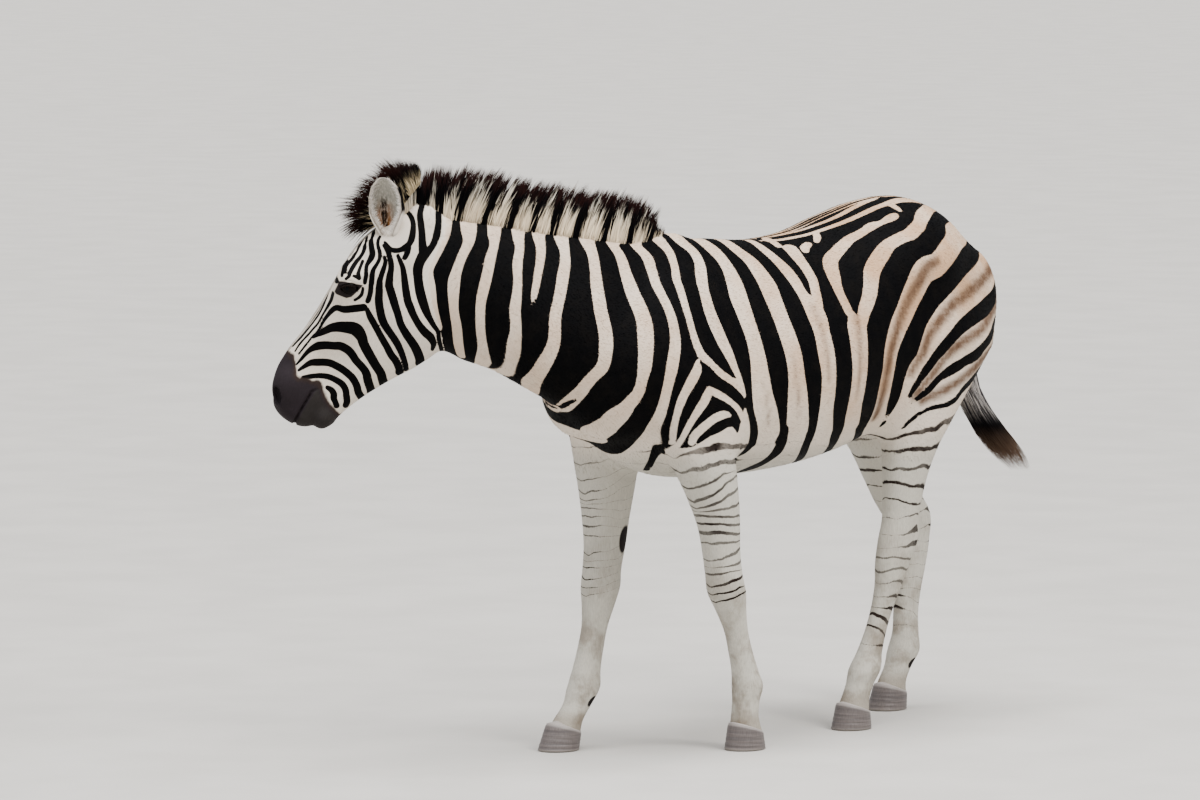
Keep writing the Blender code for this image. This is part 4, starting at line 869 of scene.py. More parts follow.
# Where the stripes of the neck end and those of the head start, along the pale stripe behind the cheek
NECK_END = (
    (-.14, -.04), (-.111, -.064), (-.067, -.0975), (-.045, -.108), (-.023, -.122), (0, -.129), (.04, -.130),
    (.08, -.135), (.10, -.143), (.12, -.156), (.14, -.173), (.16, -.191), (.18, -.212), (.20, -.236),
    (.22, -.255), (.25, -.28),
)
# Dark skin round the eye, outside the lower lid and in front of the inner corner
EYE_PATCH = ((.203, -.016), (.2165, .025), (.224, .039), (.253, .036), (.256, .030), (.251, .0026),
             (.242, -.0065), (.2165, -.014))
# The dark muzzle starts at this distance along the head, for each height up
MUZZLE = (
    (-.13, .515), (-.11, .508), (-.09, .500), (-.075, .490), (-.06, .476), (-.045, .470), (-.025, .474),
    (-.012, .483), (0, .487), (.015, .478), (.03, .468), (.045, .455), (.06, .447), (.11, .447),
)
RING_MM = 0.00135               # metres for each millimetre of a ring's half width, drawn a third bolder
# Rings of the legs: height at the front, front quarter, side, rear quarter and back, then half widths there
RING_ANGLES = (-90, -45, 0, 45, 90)
FORE_RINGS = (
    ((.765, .778, .787, .783, .775), (0, 5, 6, 6, 4)),
    ((.720, .740, .749, .742, .735), (2, 4.5, 5, 4.5, 3)),
    ((.680, .697, .716, .72, .72), (2, 3, 2, 0, 0)),
    ((.647, .663, .690, .708, .71), (3, 3, 3, 2, 0)),
    ((.628, .640, .660, .675, .68), (2, 3, 3, 3, 2)),
    ((.620, .626, .629, .636, .64), (0, 2, 2.5, 2.5, 0)),
    ((.613, .610, .605, .6045, .6045), (2.5, 2.5, 2.5, 2.5, 2.5)),
    ((.589, .590, .583, .582, .581), (2.5, 2.5, 2.5, 2.5, 2.5)),
    ((.564, .568, .561, .56, .56), (4, 4, 3, 2, 2)),
    ((.540, .539, .541, .543, .543), (2, 3, 2.5, 1, 0)),
    ((.490, .498, .513, .522, .511), (1.5, 2, 3, 3, 3)),
    ((.475, .478, .482, .490, .482), (0, 1, 3, 3, 3)),
    ((.460, .461, .467, .468, .465), (2, 2, 1, 0, 0)),
    ((.425, .436, .443, .453, .439), (2, 2.5, 3, 3, 3)),
    ((.405, .412, .423, .425, .42), (1, 2, 2, 0, 0)),
    ((.385, .395, .404, .410, .400), (1, 2, 2, 2, 2)),
)
HIND_RINGS = (
    ((.755, .776, .782, .80, .80), (2, 5, 7, 8, 8)),
    ((.722, .728, .730, .731, .730), (2, 4, 4.5, 6, 5)),
    ((.676, .678, .681, .679, .6765), (2, 3.5, 4, 4, 5)),
    ((.640, .636, .632, .624, .629), (3, 3.5, 3.5, 5, 4)),
    ((.598, .592, .585, .58, .575), (1, 2, 2.5, 2, 1)),
    ((.55, .552, .553, .555, .544), (0, 0, 1.5, 2, 2)),
    ((.505, .507, .509, .520, .520), (0, 0, 3, 8, 8)),
    ((.470, .472, .4735, .479, .479), (0, 0, 2.5, 6, 6)),
    ((.447, .447, .441, .436, .435), (2, 2, 2, 2, 2)),
    ((.405, .4147, .4176, .411, .4176), (2, 2.5, 2.5, 2.5, 2)),
    ((.380, .382, .382, .374, .382), (0, 1, 3, 4, 3)),
    ((.345, .345, .344, .341, .344), (0, 1, 2.5, 3, 2)),
    ((.315, .315, .315, .309, .313), (0, 1, 3, 4, 3)),
    ((.303, .295, .284, .271, .285), (3, 3, 3.5, 5, 3)),
    ((.270, .264, .254, .234, .259), (2.5, 3, 3, 3.5, 3)),
    ((.220, .218, .215, .212, .212), (0, 0, 1.5, 2.5, 2)),
)
MEDIAL_WIDTH = 0.06             # how wide the rings are on the inner side of a leg against the outer side
# Axis of the body for the markings: x, height, and half the width there
MARK_AXIS = (
    (-.72, 1.22, .07), (-.60, 1.20, .08), (-.5, 1.17, .095), (-.38, 1.13, .105), (-.25, 1.09, .13),
    (-.1, 1.05, .16), (0, 1.0, .19), (.3, .98, .24), (.5, .99, .25), (.8, 1.04, .235), (1.0, 1.08, .19),
    (1.2, 1.08, .12),
)
HEAD_BOLDER = 0.0017            # what the head's strokes gain on each side
FAR = -0.08                     # what a place far from every stroke is given
STROKE_STEPS = 4


def smooth_stroke(stroke):
    """The stroke as many short straight lengths."""
    rows = np.array(stroke, float) * (1, 1, 0.001)
    ends = np.vstack([2 * rows[0] - rows[1], rows, 2 * rows[-1] - rows[-2]])
    out = []
    for a, b, c, d in zip(ends, ends[1:], ends[2:], ends[3:]):
        for t in np.arange(STROKE_STEPS) / STROKE_STEPS:
            out.append(0.5 * (2 * b + (c - a) * t + (2 * a - 5 * b + 4 * c - d) * t * t
                              + (3 * b - a - 3 * c + d) * t ** 3))
    return np.vstack(out + [rows[-1:]])


def drawn(strokes, u, v):
    """How deep each place (u, v) lies in the nearest of the strokes, in metres; negative is outside."""
    best = np.full(len(u), FAR)
    for stroke in strokes:
        rows = smooth_stroke(stroke)
        low, high = rows[:, :2].min(0) + FAR, rows[:, :2].max(0) - FAR
        near = np.flatnonzero((u > low[0]) & (u < high[0]) & (v > low[1]) & (v < high[1]))
        pu, pv = u[near], v[near]
        top = best[near]
        for (au, av, aw), (bu, bv, bw) in zip(rows[:-1], rows[1:]):
            du, dv = bu - au, bv - av
            t = np.clip(((pu - au) * du + (pv - av) * dv) / max(du * du + dv * dv, 1e-12), 0, 1)
            top = np.maximum(top, aw + t * (bw - aw) - np.hypot(pu - au - t * du, pv - av - t * dv))
        best[near] = top
    return best


def within(outline, u, v):
    """Distance inside a closed outline, negative outside."""
    rows = np.array(outline)
    least = np.full(len(u), 9.0)
    inside = np.zeros(len(u), bool)
    for (au, av), (bu, bv) in zip(rows, np.roll(rows, -1, axis=0)):
        du, dv = bu - au, bv - av
        t = np.clip(((u - au) * du + (v - av) * dv) / (du * du + dv * dv), 0, 1)
        least = np.minimum(least, np.hypot(u - au - t * du, v - av - t * dv))
        if dv:
            inside ^= ((av > v) != (bv > v)) & (u < au + (v - av) / dv * du)
    return np.where(inside, least, -least)


def rings(leg, p):
    """Ring number, ring width (in ring numbers) and angle at each point, for the rings round one leg."""
    fore, right = leg < 2, leg % 2 == 1
    rows = TABLES["legs"][leg]
    x = p[:, 0] - column(rows, p[:, 2], 1)
    y = (p[:, 1] - column(rows, p[:, 2], 2)) * (-1 if right else 1)
    angle = -90 - np.degrees(np.arctan2(y, x))
    angle = np.where(angle < -180, angle + 360, angle)
    medial = smooth_step(98, 138, np.abs(angle))
    folded = np.where(np.abs(angle) > 90, np.sign(angle) * (180 - np.abs(angle)), angle)
    table = FORE_RINGS if fore else HIND_RINGS
    heights = np.array([np.interp(-folded, RING_ANGLES, row[0]) for row in table])
    widths = np.array([np.interp(-folded, RING_ANGLES, row[1]) for row in table]) * RING_MM
    n = len(table)
    z = p[:, 2]
    below = (heights > z).sum(0)
    upper = np.clip(below - 1, 0, n - 2)
    place = np.arange(len(z))
    a, b = heights[upper, place], heights[upper + 1, place]
    number = upper + 0.5 + (a - z) / (a - b)
    number = np.clip(number, 0, n)
    gaps = np.abs(np.gradient(heights, axis=0))
    share = np.minimum(widths / gaps, 0.42)
    at = np.clip(number - 0.5, 0, n - 1)
    low = np.minimum(at.astype(int), n - 2)
    width = share[low, place] + (at - low) * (share[low + 1, place] - share[low, place])
    return number, width * (1 - (1 - MEDIAL_WIDTH) * medial), angle


# Dark spots of bare skin on the legs, on the rear inner side: height, half height, half width in degrees
CHESTNUT = (0.528, 0.034, 24)
ERGOT = (0.120, 0.013, 24)
# Thin stripes along the middle of the face: along from the poll, their spacing, and how far out they reach
BLAZE = (
    (.03, .0065, .020), (.10, .0100, .030), (.16, .0125, .036), (.22, .0135, .039), (.27, .0128, .036),
    (.325, .0120, .036), (.385, .0085, .025), (.43, .0066, .019), (.50, .0060, .017),
)
BLAZE_WIDTH = 0.27              # half width of one of these stripes against their spacing
FAR_FORELEG = 0.55              # how wide the rings on the right foreleg are against the left one's
SPINE_STRIPE = 0.007            # half width of the dark stripe along the back
# How far back the stripes are set along the body: x, then the distance
STRIPE_SETBACK = ((-0.45, -0.28, -0.05, 0.55, 0.75, 1.10), (0.0, 0.003, 0.006, 0.006, 0.011, 0.010))
BODY_FOLD = 0.75                # the top and belly are laid out flat inside this part of the half width
FOLD_GAIN = 0.8                 # what a metre across adds to the laid-out height there
END_FOLD = 0.15                 # the breast and the buttocks are laid out flat inside this half width
HEAD_FOLD = 0.055               # the top of the head is laid out flat from this far off its middle
TAIL_BAR = 0.030                # spacing of the bars on the dock
TAIL_LINE = 0.006               # half width of the line down the dock, and how far off the middle it runs
RINGS_END = 0.83                # height up to which the legs have rings
SPOT_DEPTH = 0.012              # what the middle of a bare spot is given
NO_PATCH = -1.0


def far_leg_shift(p):
    """How far a far leg's markings are set back with the leg, which stands elsewhere than the near one."""
    hind = column(TABLES["legs"][3], p[:, 2], 1) - column(TABLES["legs"][2], p[:, 2], 1)
    rear = smooth_step(0.55, 0.80, p[:, 0]) * smooth_step(1.10, 0.96, p[:, 2])
    return hind * rear * smooth_step(-0.03, 0.06, p[:, 1])


def flattened(bound):
    """The body's surface laid out flat: u back along it, v up it and over to its middle."""
    x, y, z = bound.T
    axis = np.array(MARK_AXIS)
    middle, wide = column(axis, x, 1), column(axis, x, 2)
    across = np.abs(y)
    fold = np.maximum(0, BODY_FOLD * wide - across)
    over = smooth_step(-0.03, 0.12, z - middle - 0.06)
    under = smooth_step(-0.03, 0.12, middle - 0.10 - z) * smooth_step(0.62, 0.70, z)
    front = smooth_step(-0.12, -0.22, x) * smooth_step(1.15, 0.98, z) * smooth_step(-0.55, -0.40, x)
    rear = smooth_step(0.98, 1.08, x) * smooth_step(1.28, 1.15, z)
    round_end = FOLD_GAIN * np.maximum(0, END_FOLD - across)
    u = x - round_end * front + round_end * rear - far_leg_shift(bound)
    u -= np.interp(x, *STRIPE_SETBACK)
    return u, z + FOLD_GAIN * fold * over - FOLD_GAIN * fold * under


def spot(z, angle, at):
    """How deep a place on a leg lies in an oval at its rear inner side, as part of the oval's half width."""
    height, tall, wide = at
    turn = (angle + 152 + 180) % 360 - 180
    return 1 - np.hypot((z - height) / tall, turn / wide)


def body_stripes(bound, u, v):
    """How deep each place lies in a dark stripe of the body, in metres."""
    pale = drawn(NECK_PALE + SHOULDER_PALE + FLANK_PALE + RUMP_PALE, u, v)
    pale = np.maximum(pale, within(UNDERSIDE, u, v))
    stripe = np.maximum(-pale, drawn(BODY_DARK, u, v))
    spine = SPINE_STRIPE - np.abs(bound[:, 1])
    back = (bound[:, 0] > 0.30) & (bound[:, 2] > 1.15)
    pale_edge = smooth_step(0.75, 0.95, bound[:, 0]) * 0.012 + 0.004
    return np.where(back & (spine > -pale_edge), spine, stripe)


def tail_bars(bound, stripe):
    """Draws the bars across the dock and the line down it."""
    x, y, z = bound.T
    tail = (x > 1.10) & (z < 1.19) & (z > 0.84) & (np.abs(y) < 0.07)
    tail[tail] = tube(bound[tail], DOCK) < 0.012
    bars = TAIL_BAR * (np.abs((z / TAIL_BAR) % 2 - 1) - 0.5)
    stripe[tail] = np.maximum(bars, TAIL_LINE - np.abs(y - TAIL_LINE))[tail]


def face_stripes(head, on_head, out):
    """Adds the thin stripes along the middle of the face, and clears the broad ones there."""
    top = on_head & (head[:, 2] > 0.0) & (head[:, 0] > 0.03) & (head[:, 0] < 0.52)
    blaze = np.array(BLAZE)
    across = np.abs(head[top, 1])
    inside = column(blaze, head[top, 0], 2) - across
    out["stripe"][top] -= np.maximum(inside, 0)
    out["ring"][top] = across / column(blaze, head[top, 0], 1)
    out["ring_width"][top] = BLAZE_WIDTH * smooth_step(-0.003, 0.003, inside)


def leg_marks(bound, u, v, out):
    """Adds the rings of the legs, the crease beside the breast and the spots of bare skin."""
    low = bound[:, 2] < RINGS_END
    slots = np.flatnonzero(low)
    p = bound[low]
    distances = np.array([leg_loft(p, rows) for rows in TABLES["legs"]])
    nearest = distances.argmin(0)
    reach = smooth_step(0.075, 0.045, distances.min(0)) * smooth_step(RINGS_END, 0.805, p[:, 2])
    breast = (p[:, 1] < 0) & (distances[0] > 0.003)
    crease = np.where(breast, drawn(NEAR_DARK, u[low], v[low]), FAR)
    out["stripe"][low] = np.maximum(out["stripe"][low], crease)
    for leg in range(4):
        mine = nearest == leg
        here = slots[mine]
        ring, ring_width, angle = rings(leg, p[mine])
        faint = FAR_FORELEG if leg == 1 else 1.0
        out["ring"][here] = ring
        out["ring_width"][here] = faint * ring_width * reach[mine]
        oval = spot(p[mine, 2], angle, ERGOT)
        if leg < 2:
            oval = np.maximum(oval, spot(p[mine, 2], angle, CHESTNUT))
        out["patch"][here] = np.maximum(out["patch"][here], SPOT_DEPTH * oval)


def marks(bound):
    """All that the coat's colour needs at points of the straight animal, by name."""
    n = len(bound)
    u, v = flattened(bound)
    head = head_frame(bound)
    fold = np.maximum(0, HEAD_FOLD - np.abs(head[:, 1])) * smooth_step(-0.02, 0.03, head[:, 2])
    a, h = head[:, 0], head[:, 2] + 0.9 * fold
    ahead = bound[:, 0] < -0.45
    on_head = ahead & (a > -0.14) & ((a > 0.25) | (h > column(np.array(NECK_END), a, 1)))
    muzzle = np.where(ahead, a - column(np.array(MUZZLE), h, 1), -1.0)
    pale_belly = smooth_step(-0.08, 0.10, within(UNDERSIDE, u, v)) * smooth_step(1.15, 0.95, v)
    warm = smooth_step(0.66, 0.96, bound[:, 2]) * (1 - 0.75 * on_head) * (1 - 0.5 * pale_belly)
    short_hair = np.maximum(smooth_step(0.03, 0.10, a) * (bound[:, 0] < -0.5),
                            smooth_step(0.8, 0.7, bound[:, 2]))
    out = {
        "stripe": body_stripes(bound, u, v),
        "ring": np.zeros(n),
        "ring_width": np.zeros(n),
        "shadow": smooth_step(-0.016, 0.003, drawn(SHADOWS, u, v)) * ~on_head,
        "muzzle": np.clip(muzzle, -0.2, 0.2),
        "patch": np.full(n, NO_PATCH),
        "warm": warm * (0.66 + 0.44 * smooth_step(0.05, 0.60, bound[:, 0])),
        "fray": 0.0040 - 0.0028 * short_hair,
    }
    out["stripe"][on_head] = drawn(HEAD_DARK, a[on_head], h[on_head]) + HEAD_BOLDER
    by_eye = on_head & (a > 0.15) & (a < 0.30)
    out["patch"][by_eye] = within(EYE_PATCH, a[by_eye], head[by_eye, 2])
    tail_bars(bound, out["stripe"])
    face_stripes(head, on_head, out)
    leg_marks(bound, u, v, out)
    return out


# ---------------------------------------------------------------- lie of the coat
TRUNK_WAY = (1.0, 0, -0.22)     # way of the hair on the trunk, and what the thigh and the neck add to it
THIGH_WAY = (-0.25, 0, -0.55)
NECK_WAY = (-0.35, 0, -0.5)
LEG_WAY = (0.12, 0, -1.0)
FACE_WAY = (-math.cos(HEAD_DROP), 0, -math.sin(HEAD_DROP))


def lie(bound):
    """Which way the hair points at points of the straight animal."""
    a, z = head_frame(bound)[:, 0], bound[:, 2]
    on_head = smooth_step(0.00, 0.08, a) * (bound[:, 0] < -0.5)
    on_head = np.maximum(on_head, smooth_step(-0.06, 0.02, a) * (bound[:, 0] < -0.65))
    on_leg = smooth_step(0.86, 0.66, z)
    on_neck = smooth_step(-0.10, -0.35, bound[:, 0])
    thigh = smooth_step(0.60, 0.85, bound[:, 0])
    trunk = unit(np.array(TRUNK_WAY) + np.outer(thigh, THIGH_WAY) + np.outer(on_neck, NECK_WAY))
    way = trunk * (1 - on_leg)[:, None] + np.outer(on_leg, LEG_WAY)
    return unit(way * (1 - on_head)[:, None] + np.outer(on_head, FACE_WAY))


def strand(bound):
    """Coordinates for the grain of the hair: the first runs along it, the others across."""
    x, y, z = bound.T
    head = head_frame(bound)
    on_leg = smooth_step(0.86, 0.66, z)
    on_head = smooth_step(-0.05, 0.08, head[:, 0]) * (x < -0.45)
    body = np.stack([x - 0.25 * z, y, z + 0.25 * x], 1)
    leg = np.stack([z, y, x], 1)
    out = body * (1 - on_leg)[:, None] + leg * on_leg[:, None]
    return out * (1 - on_head)[:, None] + head * on_head[:, None]


# ---------------------------------------------------------------- meshes
HOOF_BOX = [(low + high) / 2 for low, high in zip(*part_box("hoof_front_left"))]
SHIFT = (HOOF_BOX[0] + HOOVES["hoof_front_left"][0][1], HOOF_BOX[1] - HOOVES["hoof_front_left"][0][0])


def placed(p):
    """Points of the standing animal in the frame of the part."""
    return np.stack([SHIFT[0] - p[:, 1], SHIFT[1] + p[:, 0], p[:, 2]], axis=1)


def new_mesh(name, points, faces, look, values=None, uv=None):
    """An object from arrays. Values are numbers or triples by vertex; uv is by vertex too."""
    mesh = bpy.data.meshes.new(name)
    mesh.vertices.add(len(points))
    mesh.vertices.foreach_set("co", placed(points).astype(np.float32).ravel())
    sizes = np.array([len(face) for face in faces])
    corners = np.concatenate(faces) if isinstance(faces, list) else faces.ravel()
    mesh.loops.add(len(corners))
    mesh.loops.foreach_set("vertex_index", corners.astype(np.int32))
    mesh.polygons.add(len(sizes))
    mesh.polygons.foreach_set("loop_start", (np.cumsum(sizes) - sizes).astype(np.int32))
    mesh.polygons.foreach_set("use_smooth", np.ones(len(sizes), bool))
    mesh.update(calc_edges=True)
    for key, value in (values or {}).items():
        vector = value.ndim == 2
        layer = mesh.attributes.new(key, "FLOAT_VECTOR" if vector else "FLOAT", "POINT")
        layer.data.foreach_set("vector" if vector else "value", value.astype(np.float32).ravel())
    if uv is not None:
        layer = mesh.uv_layers.new(name="OFBake")
        layer.data.foreach_set("uv", uv[corners].astype(np.float32).ravel())
    mesh.validate()
    thing = bpy.data.objects.new(name, mesh)
    bpy.context.scene.collection.objects.link(thing)
    mesh.materials.append(look)
    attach(thing, "root")
    return thing


# ---------------------------------------------------------------- ears
EAR_ROWS, EAR_ARCS = 40, 32
EAR_EDGE = 0.0018               # thickness of the shell at its rim
EAR_MIDDLE = 0.0038
EAR_WIDER = 1.09                # width of the furred ear against the part's shell
EAR_TAPER = (0.58, 0.74, 1.0)   # and how much of that it has at its base, a fifth up, and from the middle on
EAR_CLEFT = -0.18               # where the dark cleft of painted shade runs, from rim to rim


def ear_axes(side):
    """Unit vectors of one ear: towards its tip, towards its opening, and across. Side is -1 left, 1 right."""
    axis = np.array(EAR_AXIS) * (1, side, 1)
    axis = axis / np.linalg.norm(axis)
    facing = np.array(EAR_FACING) * (1, side, 1)
    facing = facing - axis * (facing @ axis)
    facing = facing / np.linalg.norm(facing)
    return axis, facing, np.cross(axis, facing)


def ear_place(side, part, turn, inset):
    """Head-frame points of the ear's shell: part runs from base to tip, turn from rim to rim (-1 to 1)."""
    axis, facing, across = ear_axes(side)
    rows = np.array(EAR)
    wide, half, back = (np.interp(part, rows[:, 0], rows[:, k]) for k in (1, 2, 3))
    wide = np.maximum(wide * EAR_WIDER * np.interp(part, (0.0, 0.20, 0.45), EAR_TAPER) - inset, 0.0015)
    angle = np.radians(half) * turn
    curl = 1 + 0.05 * np.sin(9 * part) * np.abs(turn) ** 3
    base = np.array(EAR_BASE) * (1, side, 1)
    middle = base + np.outer(part * EAR_LENGTH, axis) - np.outer(back, facing)
    return (middle + np.outer(wide * np.sin(angle) * curl, across)
            - np.outer(wide * EAR_BACK_DEPTH * np.cos(angle), facing))


def ear(side):
    """Points, faces and values of one ear, a thin curved shell."""
    part = np.repeat(np.linspace(-0.06, 0.995, EAR_ROWS), EAR_ARCS)
    turn = np.tile(np.linspace(-1, 1, EAR_ARCS), EAR_ROWS)
    thick = EAR_EDGE + (EAR_MIDDLE - EAR_EDGE) * (1 - turn ** 2) * (1 - 0.5 * np.clip(part, 0, 1))
    outer, inner = ear_place(side, part, turn, 0), ear_place(side, part, turn, thick)
    points = turned(head_points(np.vstack([outer, inner])))
    n, m = EAR_ROWS, EAR_ARCS
    grid = np.arange(n * m).reshape(n, m)
    quads = np.stack([grid[:-1, :-1], grid[:-1, 1:], grid[1:, 1:], grid[1:, :-1]], -1).reshape(-1, 4)
    walls = [quads, quads[:, ::-1] + n * m]
    for line, flip in ((grid[:, 0], False), (grid[:, -1], True), (grid[0], True), (grid[-1], False)):
        strip = np.stack([line[:-1], line[1:], line[1:] + n * m, line[:-1] + n * m], -1)
        walls.append(strip[:, ::-1] if flip else strip)
    faces = np.vstack(walls)
    if side < 0:
        faces = faces[:, ::-1]
    values = {
        "ear": np.tile(part, 2) + 1,
        "ear_turn": np.tile(turn, 2) * side,
        "ear_inside": np.repeat((0.0, 1.0), n * m),
    }
    return points, faces, values


# ---------------------------------------------------------------- the skin's mesh
# Places on the side of the head that are meshed finest, and their radius: eye, nostril, mouth
FACE_SPOTS = (((0.226, 0.010), 0.034), ((0.550, 0.024), 0.034), ((0.545, -0.045), 0.060))


def finer(bm, chosen, cuts):
    """Divides the chosen faces evenly."""
    edges = list({edge for face, yes in zip(bm.faces, chosen) if yes for edge in face.edges})
    bmesh.ops.subdivide_edges(bm, edges=edges, cuts=cuts, use_grid_fill=True)


def face_places(bm):
    """The middles of the faces, as they stand and in the head's frame, and which faces are the head's."""
    bm.faces.ensure_lookup_table()
    centres = np.array([face.calc_center_median()[:] for face in bm.faces])
    head = head_frame(straightened(centres))
    on_head = (head[:, 0] > -0.05) & (centres[:, 0] < -0.30) & (head[:, 2] > -0.30)
    on_head &= head[:, 2] > np.interp(head[:, 0], (-0.05, 0.05, 0.25), (-0.06, -0.16, -0.40))
    return centres, head, on_head


def skin_mesh():
    """Points and triangles of the skin: finer on the legs and head, finest about the eyes and nose."""
    points, quads = surface_nets(skin_field, SKIN_LOW, SKIN_HIGH, GRID)
    points = settled(skin_field, points, times=2, most=0.006)
    bm = bmesh.new()
    verts = [bm.verts.new(p) for p in points]
    for quad in quads:
        bm.faces.new([verts[k] for k in quad])
    bm.normal_update()
    centres, _, on_head = face_places(bm)
    x, y, z = centres.T
    elbow = (np.abs(x) < 0.14) & (z < 0.94) & (np.abs(y) > 0.07)
    croup = (x > 0.40) & (x < 0.82) & (z > 1.20)
    finer(bm, ((z < 0.72) | elbow | croup) & ~on_head, 1)
    _, _, on_head = face_places(bm)
    finer(bm, on_head, 2)
    _, head, on_head = face_places(bm)
    spots = np.zeros(len(head), bool)
    for (a, h), radius in FACE_SPOTS:
        spots |= np.hypot(head[:, 0] - a, head[:, 2] - h) < radius
    finer(bm, spots & on_head & (np.abs(head[:, 1]) > 0.012), 1)
    bmesh.ops.triangulate(bm, faces=bm.faces)
    bm.verts.index_update()
    points = np.array([v.co[:] for v in bm.verts])
    faces = np.array([[v.index for v in face.verts] for face in bm.faces])
    bm.free()
    return settled(skin_field, points, times=2, most=0.004), faces


# ---------------------------------------------------------------- hair as thin solid locks
PATCH = 0.003                   # side of a lock's patch on the unwrap


def spikes(lines, widths, flat, uv, values):
    """Closed tapering locks. Lines holds each lock's middle points (lock, step, xyz), the last one its tip.

    Every section but the tip is a triangle, flattened along flat (unit vectors by lock).
    """
    count, steps = lines.shape[:2]
    run = np.diff(lines, axis=1)
    run = np.concatenate([run, run[:, -1:]], axis=1)
    run = unit(run)
    across = unit(np.cross(run, flat[:, None, :]))
    lift = np.cross(across, run)
    t = np.linspace(0, 1, steps)
    taper = (1 - t ** 1.6)[None, :, None] * widths[:, None, None]
    triangle = ((-1, -0.5), (1, -0.5), (0, 1))
    corners = [lines + taper * (0.5 * c * across + 0.3 * s * lift) for c, s in triangle]
    body = np.stack(corners, 2)[:, :-1].reshape(count, -1, 3)
    points = np.concatenate([body, lines[:, -1:]], axis=1)
    each = points.shape[1]
    faces = [(2, 1, 0)]
    for k in range(steps - 2):
        for c in range(3):
            a, b = 3 * k + c, 3 * k + (c + 1) % 3
            faces += [(a, b, b + 3), (a, b + 3, a + 3)]
    last = 3 * (steps - 2)
    faces += [(last + c, last + (c + 1) % 3, each - 1) for c in range(3)]
    faces = (np.arange(count) * each)[:, None, None] + np.array(faces)[None]
    along = np.append(np.repeat(t[:-1], 3), 1.0)
    side = np.append(np.tile((0.0, 1.0, 0.5), steps - 1), 0.5)
    local = np.stack([side, along], 1) * PATCH
    patch = uv[:, None, :] + local[None]
    out = {key: np.repeat(value, each, axis=0) for key, value in values.items()}
    out["tip"] = np.tile(along, count)
    return points.reshape(-1, 3), faces.reshape(-1, 3), patch.reshape(-1, 2), out


def unit_square(uv):
    """The places stretched over the unit square, with room for the last patch."""
    low, high = uv.min(0), uv.max(0)
    return (uv - low) / np.maximum(high - low, 1e-6) * (1 - PATCH)


def lock_piece(name, lines, widths, flat, uv, values, look):
    """A piece of the model made of locks."""
    points, faces, patch, out = spikes(lines, widths, flat, unit_square(uv), values)
    return new_mesh(name, points, faces, look, out, patch)


def uneven(size, count):
    """Random sizes about this one."""
    return size * (0.6 + 0.8 * RANDOM.random(count))


def scattered(points, faces, count):
    """Places spread evenly over the faces, and the face of each."""
    a, b, c = (points[faces[:, k]] for k in range(3))
    area = np.linalg.norm(np.cross(b - a, c - a), axis=1)
    steps = np.cumsum(area) / area.sum()
    spots = (np.arange(count) + RANDOM.random(count)) / count
    chosen = np.minimum(np.searchsorted(steps, spots), len(faces) - 1)
    r, s = RANDOM.random((2, count))
    over = r + s > 1
    r, s = np.where(over, 1 - r, r), np.where(over, 1 - s, s)
    return a[chosen] + r[:, None] * (b - a)[chosen] + s[:, None] * (c - a)[chosen], chosen


def coat_zones(bound):
    """Where the short coat is split in pieces."""
    head = head_frame(bound)
    on_head = (head[:, 0] > -0.02) & (bound[:, 0] < -0.5)
    on_head &= head[:, 2] > np.interp(head[:, 0], (-0.02, 0.05, 0.25), (-0.06, -0.16, -0.40))
    leg = ~on_head & (bound[:, 2] < 0.70)
    rest = ~on_head & ~leg
    x = bound[:, 0]
    return {
        "coat_head": on_head,
        "coat_neck": rest & (x < -0.22),
        "coat_shoulder": rest & (x >= -0.22) & (x < 0.20),
        "coat_flank": rest & (x >= 0.20) & (x < 0.62),
        "coat_rump": rest & (x >= 0.62),
        "coat_legs": leg,
    }


# Short coat by piece: locks per square metre, length, width, and how far the tip stands off
COAT = {
    "coat_head": (36000, 0.0055, 0.0009, 0.0006),
    "coat_neck": (22000, 0.0100, 0.0012, 0.0016),
    "coat_shoulder": (20000, 0.0100, 0.0012, 0.0015),
    "coat_flank": (20000, 0.0100, 0.0012, 0.0014),
    "coat_rump": (20000, 0.0100, 0.0012, 0.0014),
    "coat_legs": (17000, 0.0075, 0.0010, 0.0009),
}
MOST_LOCKS = 19500              # in one piece, which keeps it under 200,000 triangles
LOCK_SINK = 0.0006              # how far a lock starts under the skin
WAY_SPREAD = 0.16               # how much the locks' directions differ


def unwrapped(name, bound):
    """Places on an unwrap of the skin's own shape: round an axis, and along it."""
    if name == "coat_head":
        head = head_frame(bound)
        return np.stack([head[:, 0], np.arctan2(head[:, 1], head[:, 2] + 0.04) / (2 * math.pi)], 1)
    if name != "coat_legs":
        axis = np.array(MARK_AXIS)
        middle = column(axis, bound[:, 0], 1)
        return np.stack([bound[:, 0], np.arctan2(bound[:, 1], bound[:, 2] - middle) / (2 * math.pi)], 1)
    distances = np.array([leg_loft(bound, rows) for rows in TABLES["legs"]])
    leg = distances.argmin(0)
    turn = np.zeros(len(bound))
    for k, rows in enumerate(TABLES["legs"]):
        mine = leg == k
        x = bound[mine, 0] - column(rows, bound[mine, 2], 1)
        y = bound[mine, 1] - column(rows, bound[mine, 2], 2)
        turn[mine] = np.arctan2(y, x) / (2 * math.pi) + 0.5
    return np.stack([leg + turn * 0.96, bound[:, 2]], 1)


